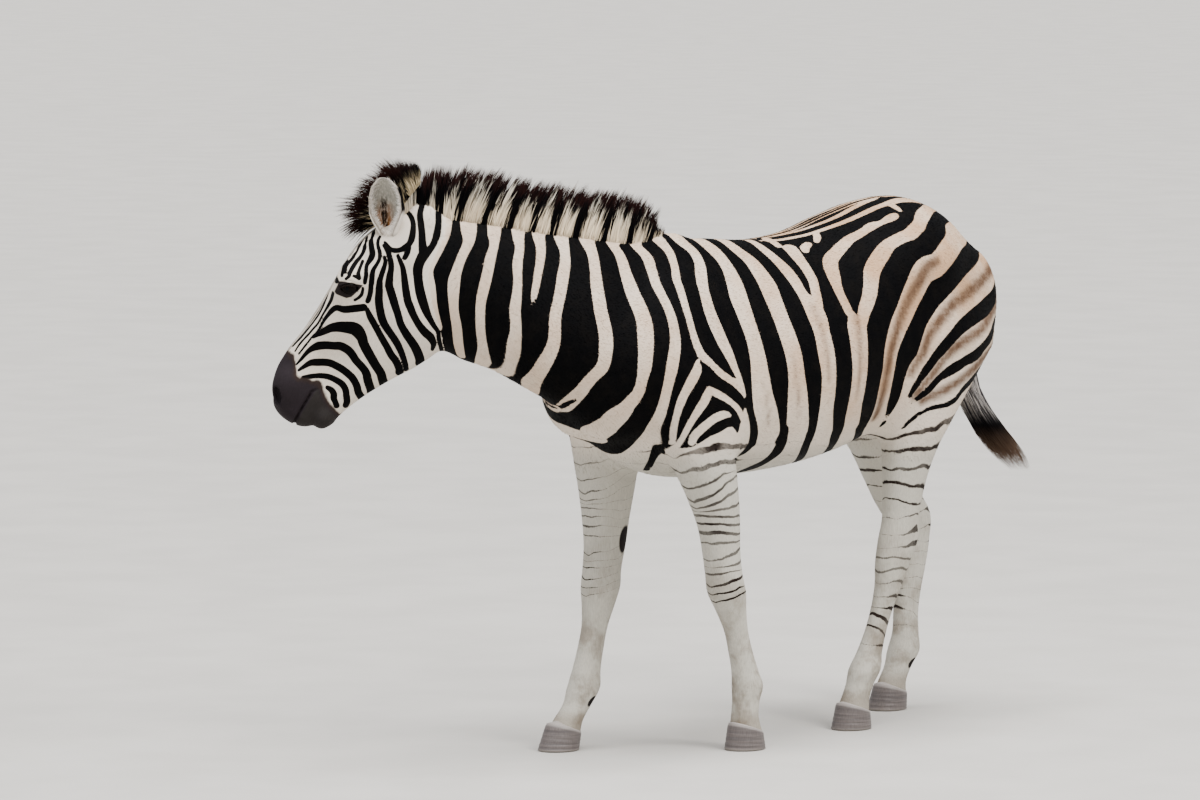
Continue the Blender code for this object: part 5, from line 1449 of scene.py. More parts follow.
def bare(bound, name):
    """Where no hair grows: eye, nostril, mouth, hoof and the top of the crest, under the mane."""
    head = head_frame(bound)
    side = mirrored(head)
    ball = np.linalg.norm(side - np.array(BALL), axis=1)
    s, t = eye_plane(side)
    open_eye = (ball < BALL_RADIUS + 0.006) & (np.abs(s) < EYE_HALF_LENGTH + 0.002)
    open_eye &= (t > -0.012) & (t < 0.014)
    nose = ellipsoid(side, NOSTRIL[0], np.array(NOSTRIL[1]) + 0.003, NOSTRIL[2]) < 0
    lips = (np.abs(head[:, 2] - MOUTH_LEVEL) < 0.006) & (head[:, 0] > MOUTH_CORNER)
    top = column(TABLES["neck"], bound[:, 0], 1)
    crest = (np.abs(bound[:, 1]) < 0.012) & (bound[:, 0] < 0.03) & (bound[:, 2] > top - 0.02)
    return (name == "coat_head") & (open_eye | nose | lips) | crest | (bound[:, 2] < 0.078)


def short_coat(skin_points, skin_faces, look):
    """The short hair of the whole body, piece by piece."""
    centres = skin_points[skin_faces].mean(1)
    t = np.array((0.0, 0.5, 1.0))
    for name, zone in coat_zones(straightened(centres)).items():
        density, length, width, lift = COAT[name]
        faces = skin_faces[zone]
        a, b, c = (skin_points[faces[:, k]] for k in range(3))
        area = 0.5 * np.linalg.norm(np.cross(b - a, c - a), axis=1).sum()
        count = int(min(area * density, MOST_LOCKS))
        roots, chosen = scattered(skin_points, faces, count)
        normal = unit(np.cross((b - a)[chosen], (c - a)[chosen]))
        bound = straightened(roots)
        keep = ~bare(bound, name)
        roots, normal, bound = roots[keep], normal[keep], bound[keep]
        count = len(roots)
        way = turned_way(bound, lie(bound))
        way -= normal * (way * normal).sum(1, keepdims=True)
        way += WAY_SPREAD * RANDOM.standard_normal((count, 3))
        way -= normal * (way * normal).sum(1, keepdims=True)
        way = unit(way)
        long = length * (0.7 + 0.5 * RANDOM.random(count))
        if name == "coat_head":
            long *= 1 - 0.45 * smooth_step(0.40, 0.50, head_frame(bound)[:, 0])
        rise = uneven(lift, count)
        lines = (roots[:, None] + way[:, None] * (long[:, None] * t)[:, :, None]
                 + normal[:, None] * (rise[:, None] * np.sqrt(t) - LOCK_SINK)[:, :, None])
        values = marks(straightened(roots + 0.5 * way * long[:, None]))
        fold_rings(values)
        values["shade"] = RANDOM.random(count)
        values["strand"] = strand(bound)
        wide = width * (0.7 + 0.6 * RANDOM.random(count))
        lock_piece(name, lines, wide, normal, unwrapped(name, bound), values, look)


def fold_rings(values):
    """Rings become part of the stripe value, for locks, whose colour is that of their root."""
    inside = values.pop("ring_width") - np.abs(values.pop("ring") % 1 - 0.5)
    values["stripe"] = np.maximum(values["stripe"], np.where(inside > -0.1, inside * 0.03, -0.03))


def curved(roots, tips, sag, steps):
    """Lines from roots to tips; sag moves the middle."""
    t = np.linspace(0, 1, steps)[None, :, None]
    return roots[:, None] * (1 - t) + tips[:, None] * t + sag[:, None] * (4 * t * (1 - t))


def on_the_head(lines):
    """Lines given in the head's frame, as they stand."""
    return turned(head_points(lines.reshape(-1, 3))).reshape(lines.shape)


def any_ways(count):
    """Random directions."""
    return unit(RANDOM.standard_normal((count, 3)))


# ---------------------------------------------------------------- mane, forelock, tail and ear hair
MANE_LOCKS = 15000
MANE_HALF = 0.021               # half width of the strip that the mane grows from
CLUMPS = 420                    # in the whole mane
CLUMPING = 0.55                 # how far a lock's tip goes to the middle of its clump
MANE_PARTS = (-0.785, -0.50, -0.25, 0.045)      # where the mane's three pieces start and end
MANE_SPREAD = 0.82              # the length that all its locks and clumps are shared out over
MANE_STEPS, MANE_LOCK = 5, 0.0029               # points along a lock, and its width
POLL_TOP = ((-0.78, -0.73, -0.66), (1.392, 1.388, 1.372))      # height of the skin under the mane's front

FORELOCK_LOCKS, FORELOCK_CLUMPS = 3400, 110
FORELOCK_BACK, FORELOCK_RUN = -0.085, 0.140     # where it starts along the head, and how far it goes
FORELOCK_HALF = 0.026
FORELOCK_STEPS, FORELOCK_LOCK = 5, 0.0027
FORELOCK_BASE = ((-0.08, 0.0, 0.06, 0.12), (0.000, 0.012, 0.030, 0.048))
# Angle of its locks (degrees) and their length, from its back to its front
FORELOCK_ANGLES = ((0, 0.2, 0.5, 0.75, 0.9, 1), (-60, -42, -18, 6, 34, 60))
FORELOCK_LENGTHS = ((0, 0.2, 0.4, 0.55, 0.75, 0.9, 1), (0.046, 0.072, 0.104, 0.118, 0.114, 0.124, 0.100))
FORELOCK_PALE_SHARE = ((0, 0.2, 0.35, 1), (0.75, 0.75, 0.32, 0.38))

TAIL_LOCKS, TAIL_STEPS, TAIL_LOCK = 4600, 7, 0.0024
TAIL_HAIR_TOP, TAIL_HAIR_ROOTS = 1.04, 0.165    # where its roots start on the dock, and how far down they go
EAR_LOCKS, EAR_LOCK, EAR_LOCK_LENGTH = 1500, 0.0011, 0.024
LASHES, LASH, LASH_LENGTH = 130, 0.0009, 0.013
FINE_STEPS = 4                  # points along a lock of the ear or a lash


def gathered(spots, count):
    """Which of some random clumps each place belongs to, and the middles of the clumps."""
    middles = spots[RANDOM.choice(len(spots), count, replace=False)]
    gaps = ((spots[:, None] - middles[None]) ** 2).sum(2)
    return gaps.argmin(1), middles


def mane(look):
    """The upright mane, in three pieces along the neck."""
    table = np.array(MANE)[::-1]
    for index, (low, high) in enumerate(zip(MANE_PARTS, MANE_PARTS[1:])):
        share = (high - low) / MANE_SPREAD
        count = int(MANE_LOCKS * share)
        x = low + (high - low) * RANDOM.random(count)
        side = RANDOM.uniform(-1, 1, count)
        y = side * MANE_HALF
        clump, middles = gathered(np.stack([x, y], 1), int(CLUMPS * share))
        whim = RANDOM.standard_normal((len(middles), 3))[clump]
        top = column(table, x, 1) + 0.012 * smooth_step(-0.45, -0.62, x)
        foot = column(TABLES["neck"], x, 1)
        foot = np.where(x < POLL_TOP[0][-1], np.minimum(foot, np.interp(x, *POLL_TOP)), foot)
        reach = top - foot - 0.034 * side ** 2 + 0.005 * whim[:, 0] - 0.022 * RANDOM.random(count) ** 2
        reach *= np.where(RANDOM.random(count) < 0.30, 0.60 + 0.3 * RANDOM.random(count), 1.0)
        reach = np.maximum(reach, 0.012)
        lean = 0.072 * smooth_step(-0.74, -0.54, x) * reach / 0.12
        lean += 0.008 * whim[:, 1] + 0.004 * RANDOM.standard_normal(count)
        lower = 0.010 * side ** 2 + 0.018 * side ** 4 * RANDOM.random(count)
        roots = np.stack([x, y, foot - 0.012 - lower], 1)
        tip_x = x + CLUMPING * (middles[clump, 0] - x)
        tip_y = 0.7 * (y + CLUMPING * (middles[clump, 1] - y))
        tips = np.stack([tip_x + lean, tip_y + 0.004 * whim[:, 2], foot + reach], 1)
        sag = np.stack([-0.10 * lean, side * 0.004, np.zeros(count)], 1)
        lines = curved(roots, tips, sag, MANE_STEPS)
        lines = turned(lines.reshape(-1, 3)).reshape(lines.shape)
        flat = turned_way(roots, np.tile((0.0, 1.0, 0.0), (count, 1)))
        flat = unit(flat + 0.4 * RANDOM.standard_normal((count, 3)))
        pale_top = reach * (0.77 + 0.09 * whim[:, 0] + 0.10 * RANDOM.standard_normal(count))
        pale_top -= 0.030 * (1 - np.abs(side))
        values = {
            "stripe": -drawn(POLL_PALE + NECK_PALE + SHOULDER_PALE, x, np.full(count, 1.42)),
            "reach": reach,
            "pale_top": pale_top,
            "shade": RANDOM.random(count),
        }
        piece = lock_piece(f"mane_{index + 1}", lines, uneven(MANE_LOCK, count), flat,
                           np.stack([x, side], 1), values, look)
        if index == 0:
            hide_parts("mane")


def forelock(look):
    """A fan of hair on the poll: upright at its back, and over the brow at its front."""
    count = FORELOCK_LOCKS
    u, v = RANDOM.uniform(-1, 1, count), RANDOM.random(count)
    start, y = FORELOCK_BACK + FORELOCK_RUN * v, u * FORELOCK_HALF
    base = np.interp(start, *FORELOCK_BASE)
    roots = np.stack([start, y, base - 0.010], 1)
    clump, middles = gathered(np.stack([start, y], 1), FORELOCK_CLUMPS)
    whim = RANDOM.standard_normal((len(middles), 3))[clump]
    turn = np.radians(np.interp(v, *FORELOCK_ANGLES) + 9 * whim[:, 0] + 6 * RANDOM.standard_normal(count))
    long = np.interp(v, *FORELOCK_LENGTHS)
    long *= (1 + 0.07 * whim[:, 1]) * (1 - 0.45 * RANDOM.random(count) ** 2) * (1 - 0.25 * u * u)
    tip_x = start + 0.5 * (middles[clump, 0] - start)
    tip_y = 0.9 * u * FORELOCK_HALF + 0.5 * (middles[clump, 1] - y)
    tips = np.stack([tip_x + long * np.sin(turn), tip_y * 1.3 + 0.005 * whim[:, 2],
                     base + long * np.cos(turn)], 1)
    sag = np.stack([-0.10 * long, 0 * u, 0.08 * long * v], 1)
    lines = on_the_head(curved(roots, tips, sag, FORELOCK_STEPS))
    flat = any_ways(count)
    pale = (np.abs(u) > 0.5) & (RANDOM.random(count) < np.interp(v, *FORELOCK_PALE_SHARE))
    values = {
        "reach": long,
        "shade": RANDOM.random(count),
        "stripe": np.where(pale, -0.02, 0.02),
        "pale_top": long * (0.45 + 0.2 * RANDOM.random(count)),
    }
    piece = lock_piece("forelock_hair", lines, uneven(FORELOCK_LOCK, count), flat,
                       np.stack([start, u], 1), values, look)
    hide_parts("forelock")


def tail_hair(look):
    """Long hair round the lower dock, hanging in one swaying tuft."""
    count = TAIL_LOCKS
    dock, path = np.array(DOCK), np.array(TUFT)
    low = RANDOM.random(count) ** 0.8
    z = TAIL_HAIR_TOP - TAIL_HAIR_ROOTS * low
    turn = RANDOM.uniform(0, 2 * math.pi, count)
    x, y, radius = (np.interp(-z, -dock[:, 2], dock[:, k]) for k in (0, 1, 3))
    out = np.stack([np.cos(turn), np.sin(turn), 0 * turn], 1)
    roots = np.stack([x, y, z], 1) + out * (radius * 0.75)[:, None]
    arcs = np.append(0, np.cumsum(np.linalg.norm(np.diff(path[:, :3], axis=0), axis=1)))
    reach = arcs[-1] * np.clip(0.30 + 0.78 * RANDOM.random(count) - 0.22 * (1 - low), 0.15, 1.02)
    lines = np.zeros((count, TAIL_STEPS, 3))
    wave = RANDOM.uniform(0, 2 * math.pi, count)
    spread = 0.85 * np.sqrt(RANDOM.random(count))
    for k, t in enumerate(np.linspace(0, 1, TAIL_STEPS)):
        at = reach * t
        middle = np.stack([np.interp(at, arcs, path[:, j]) for j in range(3)], 1)
        wide = (np.interp(at, arcs, path[:, 3]) + 0.022 * smooth_step(0.10, 0.36, at)) * spread
        point = middle + out * wide[:, None] + 0.004 * np.sin(wave + 5 * t)[:, None] * out[:, [1, 0, 2]]
        near = smooth_step(0, 0.35, t)
        lines[:, k] = (roots + np.outer(at, (0, 0, -1))) * (1 - near) + point * near
    flat = any_ways(count)
    values = {"shade": RANDOM.random(count), "reach": reach}
    piece = lock_piece("tail_hair", lines, uneven(TAIL_LOCK, count), flat, np.stack([turn, z], 1),
                       values, look)
    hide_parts("tail_tuft")


def ear_hair(side, look):
    """Pale hair inside the ear, from its rims across the opening."""
    count = EAR_LOCKS
    part = 0.05 + 0.88 * RANDOM.random(count)
    turn = RANDOM.choice((-1.0, 1.0), count) * (0.55 + 0.42 * RANDOM.random(count) ** 0.7)
    roots = ear_place(side, part, turn, np.full(count, EAR_EDGE))
    axis, facing, across = ear_axes(side)
    long = EAR_LOCK_LENGTH * (0.5 + 0.7 * RANDOM.random(count)) * (1 - 0.4 * part)
    way = np.outer(-0.75 * np.sign(turn), across) + 0.35 * facing + 0.75 * axis
    way = unit(way + 0.25 * RANDOM.standard_normal((count, 3)))
    tips = roots + way * long[:, None]
    lines = on_the_head(curved(roots, tips, np.outer(-0.10 * long, facing), FINE_STEPS))
    values = {"shade": RANDOM.random(count)}
    name = "ear_hair_left" if side < 0 else "ear_hair_right"
    lock_piece(name, lines, uneven(EAR_LOCK, count), np.tile(facing, (count, 1)),
               np.stack([part, turn], 1), values, look)


def lashes(side, look):
    """The upper lid's lashes."""
    count = LASHES
    s = EYE_HALF_LENGTH * RANDOM.uniform(-0.75, 0.92, count)
    t = -UPPER_LID * (1 - (s / EYE_HALF_LENGTH) ** 2) - 0.001
    c, d = math.cos(EYE_SLANT), math.sin(EYE_SLANT)
    away = np.sqrt(np.maximum((BALL_RADIUS + LID_THICKNESS) ** 2 - s * s - t * t, 1e-6))
    roots = np.stack([BALL[0] + s * c + t * d, side * (BALL[1] + away - 0.001), BALL[2] + s * d - t * c], 1)
    long = LASH_LENGTH * (0.6 + 0.6 * RANDOM.random(count))
    forward = 0.55 * d + 0.3 * s / EYE_HALF_LENGTH * c
    way = np.stack([forward, np.full(count, 0.95 * side), -0.55 * c + 0 * s], 1)
    way = unit(way + 0.15 * RANDOM.standard_normal((count, 3)))
    tips = roots + way * long[:, None]
    lines = on_the_head(curved(roots, tips, np.zeros((count, 3)), FINE_STEPS))
    values = {"shade": RANDOM.random(count)}
    name = "lashes_left" if side < 0 else "lashes_right"
    lock_piece(name, lines, np.full(count, LASH), np.tile((1.0, 0, 0), (count, 1)),
               np.stack([s, t], 1), values, look)


# ---------------------------------------------------------------- eyes and hooves
EYE_TURNS, EYE_BANDS = 48, 32
GAZE = (0.10, 0.98, 0.10)       # way the eye looks, in the head's frame
EYE_UP = (0.47, 0.0, 0.88)
CORNEA = 0.06                   # how far the cornea stands out, as part of the eyeball's radius

HORN_TURNS, HORN_BANDS = 64, 34
RIDGES, RIDGE_HEIGHT = 34, 0.0005               # waves of growth (in radians from ground to coronet)
HORN_EDGE = 0.004               # rounding of the edge on the ground
HORN_INSET = 0.0006             # how far the horn lies inside the part's hoof
HEEL_ROWS = (0.9, 0.6, 0.2)     # rings that close the top, as part of its size
SOLE_ROWS = ((0.2, 0.006), (0.6, 0.005), (0.86, 0.0008))       # and the sole, with their height


def eye(side, look):
    """An eyeball with a bulging cornea."""
    around = [2 * math.pi * j / EYE_TURNS for j in range(EYE_TURNS)]
    points = [(0.0, 0.0, 1.0)]
    for k in range(1, EYE_BANDS):
        a = math.pi * k / EYE_BANDS
        points += [(math.sin(a) * math.cos(b), math.sin(a) * math.sin(b), math.cos(a)) for b in around]
    points.append((0.0, 0.0, -1.0))
    p = np.array(points)
    axis = np.array(GAZE) * (1, side, 1)
    axis /= np.linalg.norm(axis)
    up = np.array(EYE_UP)
    up -= axis * (up @ axis)
    up /= np.linalg.norm(up)
    other = np.cross(up, axis)
    bulge = 1 + CORNEA * smooth_step(0.75, 1.0, p[:, 2])
    ball = (np.outer(p[:, 0] * bulge, other) + np.outer(p[:, 1] * bulge, up)
            + np.outer(p[:, 2] * bulge, axis)) * BALL_RADIUS
    shown = turned(head_points(ball + np.array(BALL) * (1, side, 1)))
    last = len(points) - 1
    faces = [(0, 1 + j, 1 + (j + 1) % EYE_TURNS) for j in range(EYE_TURNS)]
    for k in range(EYE_BANDS - 2):
        row, lower = 1 + k * EYE_TURNS, 1 + (k + 1) * EYE_TURNS
        for j in range(EYE_TURNS):
            faces.append((row + j, lower + j, lower + (j + 1) % EYE_TURNS, row + (j + 1) % EYE_TURNS))
    row = 1 + (EYE_BANDS - 2) * EYE_TURNS
    faces += [(last, row + (j + 1) % EYE_TURNS, row + j) for j in range(EYE_TURNS)]
    values = {"gaze": p[:, 2], "across": p[:, 0], "upward": p[:, 1]}
    name = "left" if side < 0 else "right"
    piece = new_mesh(f"eyeball_{name}", shown, [np.array(f) for f in faces], look, values)
    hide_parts(f"eye_{name}")


def hoof(name, look):
    """Horn with growth rings, a rounded edge on the ground and a soft swell at the coronet."""
    (sx, sy), (cx, cy) = HOOVES[name]
    slope = (TOE_HEIGHT - HEEL_HEIGHT) / (2 * CORONET[0])
    middle = (TOE_HEIGHT + HEEL_HEIGHT) / 2
    angle = 2 * math.pi * np.arange(HORN_TURNS) / HORN_TURNS
    rows = []
    for k in range(HORN_BANDS + 1):
        part = k / HORN_BANDS
        ridge = RIDGE_HEIGHT * math.sin(RIDGES * part) * (1 - part) - 0.0012 * (part > 0.93)
        inset = HORN_EDGE * max(0, 1 - part / 0.06) ** 2 + HORN_INSET - ridge
        low = np.stack([sx - np.cos(angle) * (SOLE[0] - inset), sy + np.sin(angle) * (SOLE[1] - inset)], 1)
        high = np.stack([cx - np.cos(angle) * (CORONET[0] - inset - 0.001),
                         cy + np.sin(angle) * (CORONET[1] - inset - 0.001)], 1)
        flat = low + (high - low) * part
        top = middle - (high[:, 0] - cx) * slope
        rows.append(np.column_stack([flat, top * part + 0.0002]))
    heel = [np.column_stack([(rows[-1][:, :2] - (cx, cy)) * f + (cx, cy), rows[-1][:, 2] + 0.008 * (1 - f)])
            for f in HEEL_ROWS]
    sole = [np.column_stack([(rows[0][:, :2] - (sx, sy)) * f + (sx, sy), np.full(HORN_TURNS, z)])
            for f, z in SOLE_ROWS]
    rows = sole + rows + heel
    faces = []
    for k in range(len(rows) - 1):
        for j in range(HORN_TURNS):
            a, b = k * HORN_TURNS + j, k * HORN_TURNS + (j + 1) % HORN_TURNS
            faces.append((b, a, a + HORN_TURNS, b + HORN_TURNS))
    faces.append(tuple(range(HORN_TURNS)))
    faces.append(tuple(reversed(range((len(rows) - 1) * HORN_TURNS, len(rows) * HORN_TURNS))))
    height = np.clip((np.arange(len(rows)) - len(SOLE_ROWS)) / HORN_BANDS, 0, 1)
    values = {"height": np.repeat(height, HORN_TURNS)}
    piece = new_mesh(name.replace("hoof", "horn"), np.vstack(rows), [np.array(f) for f in faces], look,
                     values)
    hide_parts(name)


# ---------------------------------------------------------------- materials
def colour(red, green, blue):
    """A screen colour (0 to 255) as the shader wants it."""
    out = []
    for value in (red, green, blue):
        c = value / 255
        out.append(c / 12.92 if c <= 0.04045 else ((c + 0.055) / 1.055) ** 2.4)
    return (*out, 1.0)


class Look:
    """A material under construction: each call adds a node and returns its output."""

    def __init__(self, name, rough, **sockets):
        self.material = bpy.data.materials.new(name)
        self.material.use_nodes = True
        self.nodes = self.material.node_tree.nodes
        self.links = self.material.node_tree.links
        self.shader = self.nodes["Principled BSDF"]
        self.shader.inputs["Roughness"].default_value = rough
        for key, value in sockets.items():
            self.shader.inputs[key.replace("_", " ")].default_value = value

    def put(self, socket, value):
        if isinstance(value, bpy.types.NodeSocket):
            self.links.new(value, socket)
        else:
            socket.default_value = value

    def value(self, name, kind="Fac"):
        """One of the mesh's own values."""
        node = self.nodes.new("ShaderNodeAttribute")
        node.attribute_name = name
        return node.outputs[kind]

    def place(self):
        node = self.nodes.new("ShaderNodeTexCoord")
        return node.outputs["Object"]

    def scaled(self, vector, scale):
        node = self.nodes.new("ShaderNodeVectorMath")
        node.operation = "MULTIPLY"
        self.put(node.inputs[0], vector)
        node.inputs[1].default_value = scale
        return node.outputs[0]

    def noise(self, vector, scale, detail=2.0, rough=0.5):
        node = self.nodes.new("ShaderNodeTexNoise")
        self.put(node.inputs["Vector"], vector)
        node.inputs["Scale"].default_value = scale
        node.inputs["Detail"].default_value = detail
        node.inputs["Roughness"].default_value = rough
        return node.outputs["Fac"]

    def math(self, operation, *values):
        node = self.nodes.new("ShaderNodeMath")
        node.operation = operation
        for socket, value in zip(node.inputs, values):
            self.put(socket, value)
        return node.outputs[0]

    def plus(self, first, second):
        return self.math("ADD", first, second)

    def minus(self, first, second):
        return self.math("SUBTRACT", first, second)

    def times(self, first, second):
        return self.math("MULTIPLY", first, second)

    def size(self, value):
        return self.math("ABSOLUTE", value)

    def ramp(self, value, rise, start):
        """Start where the value is 0, and rise more than that where it is 1."""
        return self.plus(self.times(value, rise), start)

    def swing(self, value, width):
        """The value less a half, times a width."""
        return self.times(self.minus(value, 0.5), width)

    def step(self, value, low, high, top=1.0):
        """0 below low, top above high, smooth between."""
        node = self.nodes.new("ShaderNodeMapRange")
        node.interpolation_type = "SMOOTHSTEP"
        node.inputs["From Min"].default_value = low
        node.inputs["From Max"].default_value = high
        node.inputs["To Max"].default_value = top
        self.put(node.inputs["Value"], value)
        return node.outputs["Result"]

    def mix(self, share, first, second):
        node = self.nodes.new("ShaderNodeMix")
        node.data_type = "RGBA"
        self.put(node.inputs["Factor"], share)
        self.put(node.inputs[6], first)
        self.put(node.inputs[7], second)
        return node.outputs[2]

    def shaded(self, base, share):
        """The colour times a number."""
        node = self.nodes.new("ShaderNodeVectorMath")
        node.operation = "SCALE"
        self.put(node.inputs[0], base)
        self.put(node.inputs["Scale"], share)
        return node.outputs[0]

    def bump(self, height, strength, distance):
        node = self.nodes.new("ShaderNodeBump")
        node.inputs["Strength"].default_value = strength
        node.inputs["Distance"].default_value = distance
        self.links.new(height, node.inputs["Height"])
        self.links.new(node.outputs[0], self.shader.inputs["Normal"])

    def height(self, place):
        """How high a place is."""
        node = self.nodes.new("ShaderNodeSeparateXYZ")
        self.put(node.inputs[0], place)
        return node.outputs[2]

    def hair(self, base, rise, start):
        """Paints locks, each a little lighter or darker than the next."""
        return self.paint(self.shaded(base, self.ramp(self.value("shade"), rise, start)))

    def paint(self, base):
        self.links.new(base, self.shader.inputs["Base Color"])
        return self.material


# The cold white of the legs and belly is partly the hair's own grey-white and partly painted shade of the
# lower body.
WHITE, CREAM, COLD_AND_SHADED = colour(224, 215, 202), colour(186, 152, 121), colour(190, 186, 175)
BLACK, BROWN_BLACK = colour(3, 3, 4), colour(10, 8, 7)
LEG_DARK = colour(34, 26, 23)
SHADOW_BROWN = colour(92, 69, 53)
# Grey of the lower legs: patches that grow stronger towards the ground, and a band just above the hooves.
LOW_LEG_GREY = colour(118, 105, 90)
MUZZLE_DARK, MUZZLE_EDGE, LIP = colour(38, 33, 36), colour(46, 37, 34), colour(42, 39, 38)
# The second colour is painted shade for the hollows of the face: the nostrils, the mouth's cleft and the
# eye's socket.
EYE_SKIN, PIT_SHADE = colour(33, 28, 28), colour(16, 11, 11)
# The third colour is painted shade, deep in the ear's hollow.
EAR_SKIN, EAR_WAX, EAR_FUNNEL_SHADE = colour(158, 155, 145), colour(140, 92, 48), colour(30, 20, 14)
EAR_STREAK = colour(70, 68, 62)
EAR_HAIR_ROOT, EAR_HAIR_TIP = colour(206, 194, 180), colour(240, 234, 226)
MANE_ROOT, MANE_PALE = colour(212, 194, 166), colour(206, 199, 184)
MANE_BLACK, MANE_TIP = colour(5, 4, 5), colour(36, 14, 10)
FORELOCK_ROOT, FORELOCK_RED, FORELOCK_PALE = colour(8, 6, 6), colour(38, 15, 10), colour(190, 172, 138)
TAIL_ROOT, TAIL_GREY, TAIL_BLACK = colour(60, 57, 60), colour(165, 160, 156), colour(11, 10, 12)
TAIL_TIP = colour(96, 76, 62)
LASH_ROOT, LASH_TIP = colour(20, 16, 15), colour(38, 28, 24)
IRIS_DARK, IRIS_BROWN = colour(6, 4, 4), colour(14, 9, 7)
PUPIL, EYE_RIM = colour(6, 6, 9), colour(14, 10, 10)
HORN_DARK, HORN_LIGHT, HORN_GRAIN = colour(82, 76, 75), colour(104, 96, 93), colour(66, 58, 58)
HORN_CORONET, HORN_SCUFF = colour(150, 143, 138), colour(150, 142, 132)
FLOOR_DARK, FLOOR_LIGHT = colour(176, 173, 168), colour(182, 179, 174)
SKY = colour(236, 236, 238)


def striped(look, place, grain_place, blotch):
    """Dark stripes and rings on pale hair, which is warm above, a colder white below that is also painted
    darker as shade, and greyer in patches towards the ground.
    """
    ragged = look.noise(look.scaled(grain_place, (90, 330, 330)), 1.0, 2.0)
    patches = look.noise(place, 9.0, 3.0)
    stripe = look.plus(look.value("stripe"), look.swing(ragged, look.value("fray")))
    dark = look.step(stripe, -0.0007, 0.0007)
    bent = look.plus(look.value("ring"), look.swing(look.noise(place, 22.0, 2.0), 0.55))
    phase = look.size(look.minus(look.math("FRACT", bent), 0.5))
    ring = look.plus(look.minus(look.value("ring_width"), phase), look.swing(ragged, 0.12))
    ringed = look.times(look.step(ring, -0.035, 0.035), look.minus(1.0, dark))
    warm = look.times(look.value("warm"), look.step(patches, 0.15, 0.75))
    warm = look.plus(look.times(look.value("warm"), 0.45), look.times(warm, 0.55))
    # Below, the pale hair takes the cold white: its own colour, darkened as painted shade of the underside
    # and legs.
    light = look.mix(look.step(look.value("warm"), 0.0, 0.25), COLD_AND_SHADED, WHITE)
    light = look.mix(warm, light, CREAM)
    fade = look.plus(0.84, look.step(blotch, 0.25, 0.65, 0.14))
    light = look.mix(look.times(look.value("shadow"), fade), light, SHADOW_BROWN)
    height = look.height(place)
    # The pale hair turns grey in patches, more towards the ground, and grey in a band above the hooves.
    low_patches = look.step(look.noise(place, 13.0, 4.0, 0.6), 0.40, 0.70, 0.85)
    light = look.mix(look.times(look.step(height, 0.75, 0.05), low_patches), light, LOW_LEG_GREY)
    light = look.mix(look.step(height, 0.115, 0.075, 0.55), light, LOW_LEG_GREY)
    night = look.mix(look.step(blotch, 0.35, 0.85), BLACK, BROWN_BLACK)
    weak = look.minus(1.0, look.step(patches, 0.62, 0.38, 0.28))
    light = look.mix(look.times(ringed, weak), light, LEG_DARK)
    return look.mix(dark, light, night)


def bare_skin(look, base, blotch):
    """The base colour with the muzzle, the lips, the skin round the eye, and painted shade in the hollows:
    inside the nostrils, along the mouth's cleft and in the eye's socket.
    """
    muzzle = look.plus(look.value("muzzle"), look.swing(blotch, 0.02))
    base = look.mix(look.step(muzzle, -0.007, 0.001), base, MUZZLE_EDGE)
    base = look.mix(look.step(muzzle, 0.000, 0.014), base, MUZZLE_DARK)
    base = look.mix(look.times(look.step(muzzle, 0.0, 0.02), look.value("lip")), base, LIP)
    base = look.mix(look.step(look.value("patch"), -0.002, 0.001), base, EYE_SKIN)
    # Painted shade in the nostrils, the mouth's cleft and the eye's socket.
    return look.mix(look.step(look.value("pit_shade"), 0.0, 1.0), base, PIT_SHADE)


def ear_colours(look, place, blotch):
    """Grey and brown inside, with painted shade in streaks down the middle of the lower ear, white with a
    dark band outside; ear is 1 at the ear's base and 2 at its tip.
    """
    ear, turn = look.value("ear"), look.value("ear_turn")
    cleft = look.size(look.minus(turn, EAR_CLEFT))
    low = look.step(look.plus(ear, look.times(blotch, 0.3)), 1.80, 1.40)
    inside = look.mix(look.times(low, look.step(cleft, 0.42, 0.12)), EAR_SKIN, EAR_WAX)
    streaks = look.noise(look.scaled(place, (240, 240, 60)), 1.0, 3.0, 0.6)
    # Painted shade in streaks along the cleft, in the hollow of the lower ear.
    deep = look.times(look.step(cleft, 0.17, 0.05), look.step(streaks, 0.30, 0.52))
    inside = look.mix(look.times(deep, look.step(ear, 1.74, 1.50)), inside, EAR_FUNNEL_SHADE)
    inside = look.mix(look.step(streaks, 0.50, 0.36, 0.30), inside, WHITE)
    inside = look.mix(look.step(streaks, 0.56, 0.70, 0.35), inside, EAR_STREAK)
    inside = look.mix(look.step(look.size(turn), 0.70, 0.88), inside, WHITE)
    inside = look.mix(look.times(look.step(turn, 0.90, 0.94), look.step(ear, 1.30, 1.42)), inside, BLACK)
    band = look.times(look.step(ear, 1.40, 1.50), look.minus(1.0, look.step(ear, 1.80, 1.88)))
    outside = look.mix(band, WHITE, BROWN_BLACK)
    outside = look.mix(look.step(ear, 1.18, 1.02), outside, BLACK)
    return look.mix(look.value("ear_inside"), outside, inside)


def coat_look():
    """Striped hair: the same on the skin and on the locks that stand on it."""
    look = Look("striped_coat", 0.60, Specular_IOR_Level=0.03)
    place, grain_place = look.place(), look.value("strand", "Vector")
    hair = look.noise(look.scaled(grain_place, (55, 520, 520)), 1.0, 3.0, 0.6)
    blotch = look.noise(place, 34.0, 3.0)
    base = bare_skin(look, striped(look, place, grain_place, blotch), blotch)
    base = look.mix(look.step(look.value("ear"), 0.5, 0.6), base, ear_colours(look, place, blotch))
    tone = look.ramp(look.step(hair, 0.25, 0.75), 0.22, 0.83)
    tone = look.times(tone, look.ramp(look.value("shade"), 0.22, 0.84))
    look.bump(hair, 0.55, 0.0012)
    return look.paint(look.shaded(base, tone))


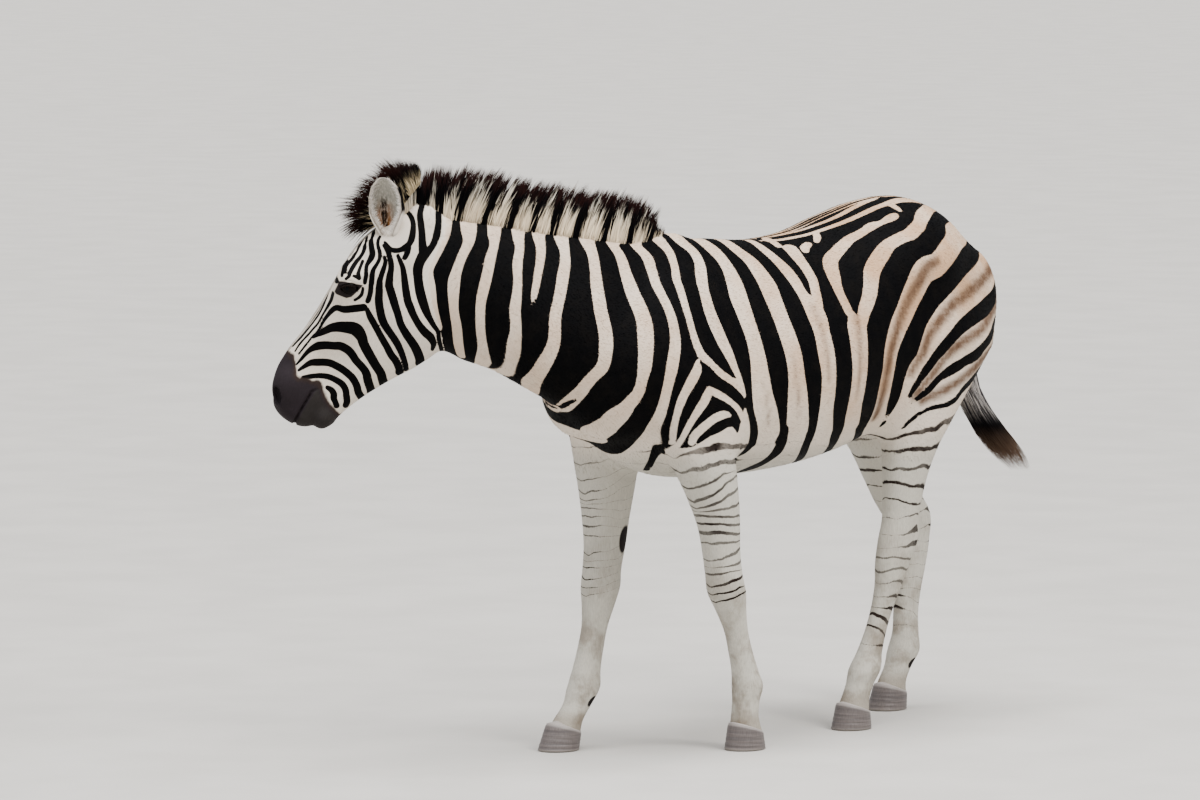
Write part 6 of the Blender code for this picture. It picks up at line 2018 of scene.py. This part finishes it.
def mane_look():
    """Hair of the mane: striped near the neck, black above, with red-brown tips."""
    look = Look("mane_hair", 0.75, Specular_IOR_Level=0.03)
    along = look.times(look.value("tip"), look.value("reach"))
    ragged = look.swing(look.value("shade"), 0.012)
    narrower = look.times(look.math("MAXIMUM", look.minus(along, 0.02), 0.0), 0.17)
    edge = look.plus(look.plus(look.value("stripe"), ragged), narrower)
    above = look.minus(along, look.value("pale_top"))
    dark = look.math("MAXIMUM", look.step(edge, -0.002, 0.002), look.step(above, -0.006, 0.010))
    light = look.mix(look.step(along, 0.02, 0.09), MANE_ROOT, MANE_PALE)
    night = look.mix(look.step(look.value("tip"), 0.76, 1.0), MANE_BLACK, MANE_TIP)
    return look.hair(look.mix(dark, light, night), 0.45, 0.75)


def forelock_look():
    """Red-brown hair, darker at its roots, with some pale locks at the sides."""
    look = Look("forelock_hair", 0.75, Specular_IOR_Level=0.03)
    along = look.times(look.value("tip"), look.value("reach"))
    below = look.step(look.minus(look.value("pale_top"), along), -0.010, 0.010)
    pale = look.times(look.math("LESS_THAN", look.value("stripe"), 0.0), below)
    night = look.mix(look.step(along, 0.03, 0.11), FORELOCK_ROOT, FORELOCK_RED)
    return look.hair(look.mix(pale, night, FORELOCK_PALE), 0.5, 0.7)


def tail_look():
    """Grey and white hair at the dock, then black, with brown ends."""
    look = Look("tail_hair", 0.7, Specular_IOR_Level=0.04)
    along = look.times(look.value("tip"), look.value("reach"))
    root = look.mix(look.math("GREATER_THAN", look.value("shade"), 0.55), TAIL_ROOT, TAIL_GREY)
    base = look.mix(look.step(along, 0.10, 0.20), root, TAIL_BLACK)
    return look.hair(look.mix(look.step(along, 0.19, 0.31), base, TAIL_TIP), 0.45, 0.75)


def ear_hair_look():
    """Pale hair, palest at its tips."""
    look = Look("ear_hair", 0.65, Specular_IOR_Level=0.1)
    return look.hair(look.mix(look.step(look.value("tip"), 0.0, 0.8), EAR_HAIR_ROOT, EAR_HAIR_TIP), 0.3, 0.8)


def lash_look():
    """Nearly black hair."""
    look = Look("lashes", 0.6, Specular_IOR_Level=0.05)
    return look.paint(look.mix(look.value("tip"), LASH_ROOT, LASH_TIP))


def eye_look():
    """A dark brown iris with a wide pupil lying level, under a clear wet surface."""
    look = Look("eye", 0.18, Specular_IOR_Level=0.035)
    wide = look.math("POWER", look.size(look.value("across")), 2.0)
    tall = look.math("POWER", look.size(look.times(look.value("upward"), 2.1)), 2.0)
    pupil = look.step(look.math("SQRT", look.plus(wide, tall)), 0.34, 0.42)
    streaks = look.noise(look.scaled(look.place(), (700, 700, 700)), 1.0, 3.0)
    iris = look.mix(look.step(streaks, 0.3, 0.7), IRIS_DARK, IRIS_BROWN)
    base = look.mix(pupil, PUPIL, iris)
    return look.paint(look.mix(look.step(look.value("gaze"), 0.72, 0.55), base, EYE_RIM))


def hoof_look():
    """Grey-brown horn with growth rings and upright grain, pale at the coronet, scuffed at the ground."""
    look = Look("horn", 0.48, Specular_IOR_Level=0.4)
    height = look.value("height")
    place = look.place()
    growth = look.noise(look.scaled(place, (6, 6, 260)), 1.0, 3.0)
    grain = look.noise(look.scaled(place, (420, 420, 26)), 1.0, 2.0)
    base = look.mix(look.step(growth, 0.3, 0.7), HORN_DARK, HORN_LIGHT)
    base = look.mix(look.step(grain, 0.35, 0.8, 0.5), base, HORN_GRAIN)
    base = look.mix(look.step(height, 0.84, 1.0), base, HORN_CORONET)
    base = look.mix(look.step(height, 0.14, 0.0, 0.5), base, HORN_SCUFF)
    look.bump(look.plus(growth, look.times(grain, 0.5)), 0.5, 0.0012)
    return look.paint(base)


# ---------------------------------------------------------------- studio
FLOOR_HALF = 90.0
CAMERA_PLACE = (12.356, -12.656, 2.4)
CAMERA_PITCH = math.radians(4.95)
CAMERA_HEADING = (-math.sqrt(0.5), math.sqrt(0.5))
LENS, SENSOR = 207.9, 36.0
CAMERA_SIGHT = 400
SKY_STRENGTH = 0.80
SUN_POWER, SUN_ANGLE, SUN_WAY = 7.1, math.radians(50), (-0.16, 0.10, -1.0)
MIDDLE = (0.0, 0.0, 0.8)        # what the two area lights point at
# Area lights: name, place, size, power, tint
LIGHTS = (
    ("key", (4.6, 0.2, 4.8), 2.2, 300, (1.0, 0.98, 0.95)),
    ("fill", (-1.5, -5.5, 2.6), 3.5, 60, (0.95, 0.97, 1.0)),
)


def aimed(thing, way):
    """Turns a light or camera this way."""
    thing.rotation_euler = Vector(way).to_track_quat("-Z", "Y").to_euler()


def linked(name, data, place=(0, 0, 0)):
    """A new object in the scene."""
    thing = bpy.data.objects.new(name, data)
    thing.location = place
    bpy.context.scene.collection.objects.link(thing)
    return thing


def studio_floor():
    """A plain pale floor that reaches the horizon."""
    look = Look("floor", 0.8, Specular_IOR_Level=0.15)
    speck = look.noise(look.place(), 3.0, 3.0)
    look.paint(look.mix(look.step(speck, 0.3, 0.7), FLOOR_DARK, FLOOR_LIGHT))
    corners = ((-1, -1), (1, -1), (1, 1), (-1, 1))
    mesh = bpy.data.meshes.new("floor")
    mesh.from_pydata([(x * FLOOR_HALF, y * FLOOR_HALF, 0) for x, y in corners], [], [(0, 1, 2, 3)])
    mesh.materials.append(look.material)
    floor = linked("floor", mesh)


def studio_lights():
    """A wide soft light from above, two lights from the sides and a pale sky."""
    world = bpy.data.worlds.new("studio")
    world.use_nodes = True
    world.node_tree.nodes["Background"].inputs["Color"].default_value = SKY
    world.node_tree.nodes["Background"].inputs["Strength"].default_value = SKY_STRENGTH
    bpy.context.scene.world = world
    data = bpy.data.lights.new("overhead", "SUN")
    data.energy = SUN_POWER
    data.angle = SUN_ANGLE
    overhead = linked("overhead", data, (0.6, -0.6, 5.2))
    aimed(overhead, SUN_WAY)
    for name, place, size, power, tint in LIGHTS:
        data = bpy.data.lights.new(name, "AREA")
        data.shape = "DISK"
        data.size = size
        data.energy = power
        data.color = tint
        thing = linked(name, data, place)
        aimed(thing, Vector(MIDDLE) - Vector(place))


def studio_camera():
    """A long lens above the height of the animal, looking slightly down."""
    data = bpy.data.cameras.new("camera")
    data.lens, data.sensor_width = LENS, SENSOR
    data.clip_end = CAMERA_SIGHT
    view = linked("camera", data, CAMERA_PLACE)
    flat = math.cos(CAMERA_PITCH)
    aimed(view, (CAMERA_HEADING[0] * flat, CAMERA_HEADING[1] * flat, -math.sin(CAMERA_PITCH)))
    bpy.context.scene.camera = view


# ---------------------------------------------------------------- the whole animal
FLESH = ("head", "neck", "trunk", "foreleg_left", "foreleg_right", "hindleg_left", "hindleg_right",
         "ear_left", "ear_right", "tail")


def skin_values(bound):
    """Values of the skin that only its own shape has, on top of the markings."""
    values = marks(bound)
    n = len(bound)
    head = head_frame(bound)
    side = mirrored(head)
    nose = ellipsoid(side, NOSTRIL[0], NOSTRIL[1], NOSTRIL[2])
    ball = np.linalg.norm(side - np.array(BALL), axis=1)
    in_eye = (ball < BALL_RADIUS + 0.0008) & (side[:, 1] > BALL[1] - 0.005)
    in_nose = smooth_step(0.000, -0.004, nose) * (head[:, 0] > 0.5)
    cleft = np.exp(-((head[:, 2] - MOUTH_LEVEL) / 0.003) ** 2)
    cleft *= smooth_step(MOUTH_CORNER, MOUTH_CORNER + 0.02, head[:, 0])
    on_head = bound[:, 0] < -0.5
    # Painted shade: dark inside the nostrils, along the mouth's cleft and in the eye's socket.
    values["pit_shade"] = np.maximum(np.maximum(in_nose, 0.8 * cleft), in_eye) * on_head
    values["lip"] = smooth_step(-0.045, -0.055, head[:, 2]) * on_head
    values["strand"] = strand(bound)
    values["shade"] = np.full(n, 0.5)
    for key in ("ear", "ear_turn", "ear_inside"):
        values[key] = np.zeros(n)
    return values


def whole_skin(look):
    """The skin as one piece, ears included. Returns the points and faces that the short coat stands on."""
    points, faces = skin_mesh()
    values = skin_values(straightened(points))
    parts, triangles, start = [points], [faces], len(points)
    for side in (-1, 1):
        ear_points, ear_faces, ear_values = ear(side)
        parts.append(ear_points)
        triangles.append(np.vstack([ear_faces[:, (0, 1, 2)], ear_faces[:, (0, 2, 3)]]) + start)
        start += len(ear_points)
        more = skin_values(straightened(ear_points))
        for key, plain in (("stripe", -0.05), ("muzzle", -0.2), ("patch", NO_PATCH), ("pit_shade", 0)):
            more[key][:] = plain
        more.update(ear_values)
        values = {key: np.concatenate([value, more[key]]) for key, value in values.items()}
    skin = new_mesh("skin", np.vstack(parts), np.vstack(triangles), look, values)
    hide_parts(*FLESH)
    return points, faces


def build():
    """The whole animal."""
    coat = coat_look()
    points, faces = whole_skin(coat)
    short_coat(points, faces, coat)
    mane(mane_look())
    forelock(forelock_look())
    tail_hair(tail_look())
    inner, dark = ear_hair_look(), lash_look()
    horn, wet = hoof_look(), eye_look()
    for side in (-1, 1):
        ear_hair(side, inner)
        lashes(side, dark)
        eye(side, wet)
    for name in HOOVES:
        hoof(name, horn)


build()
studio_floor()
studio_lights()
studio_camera()
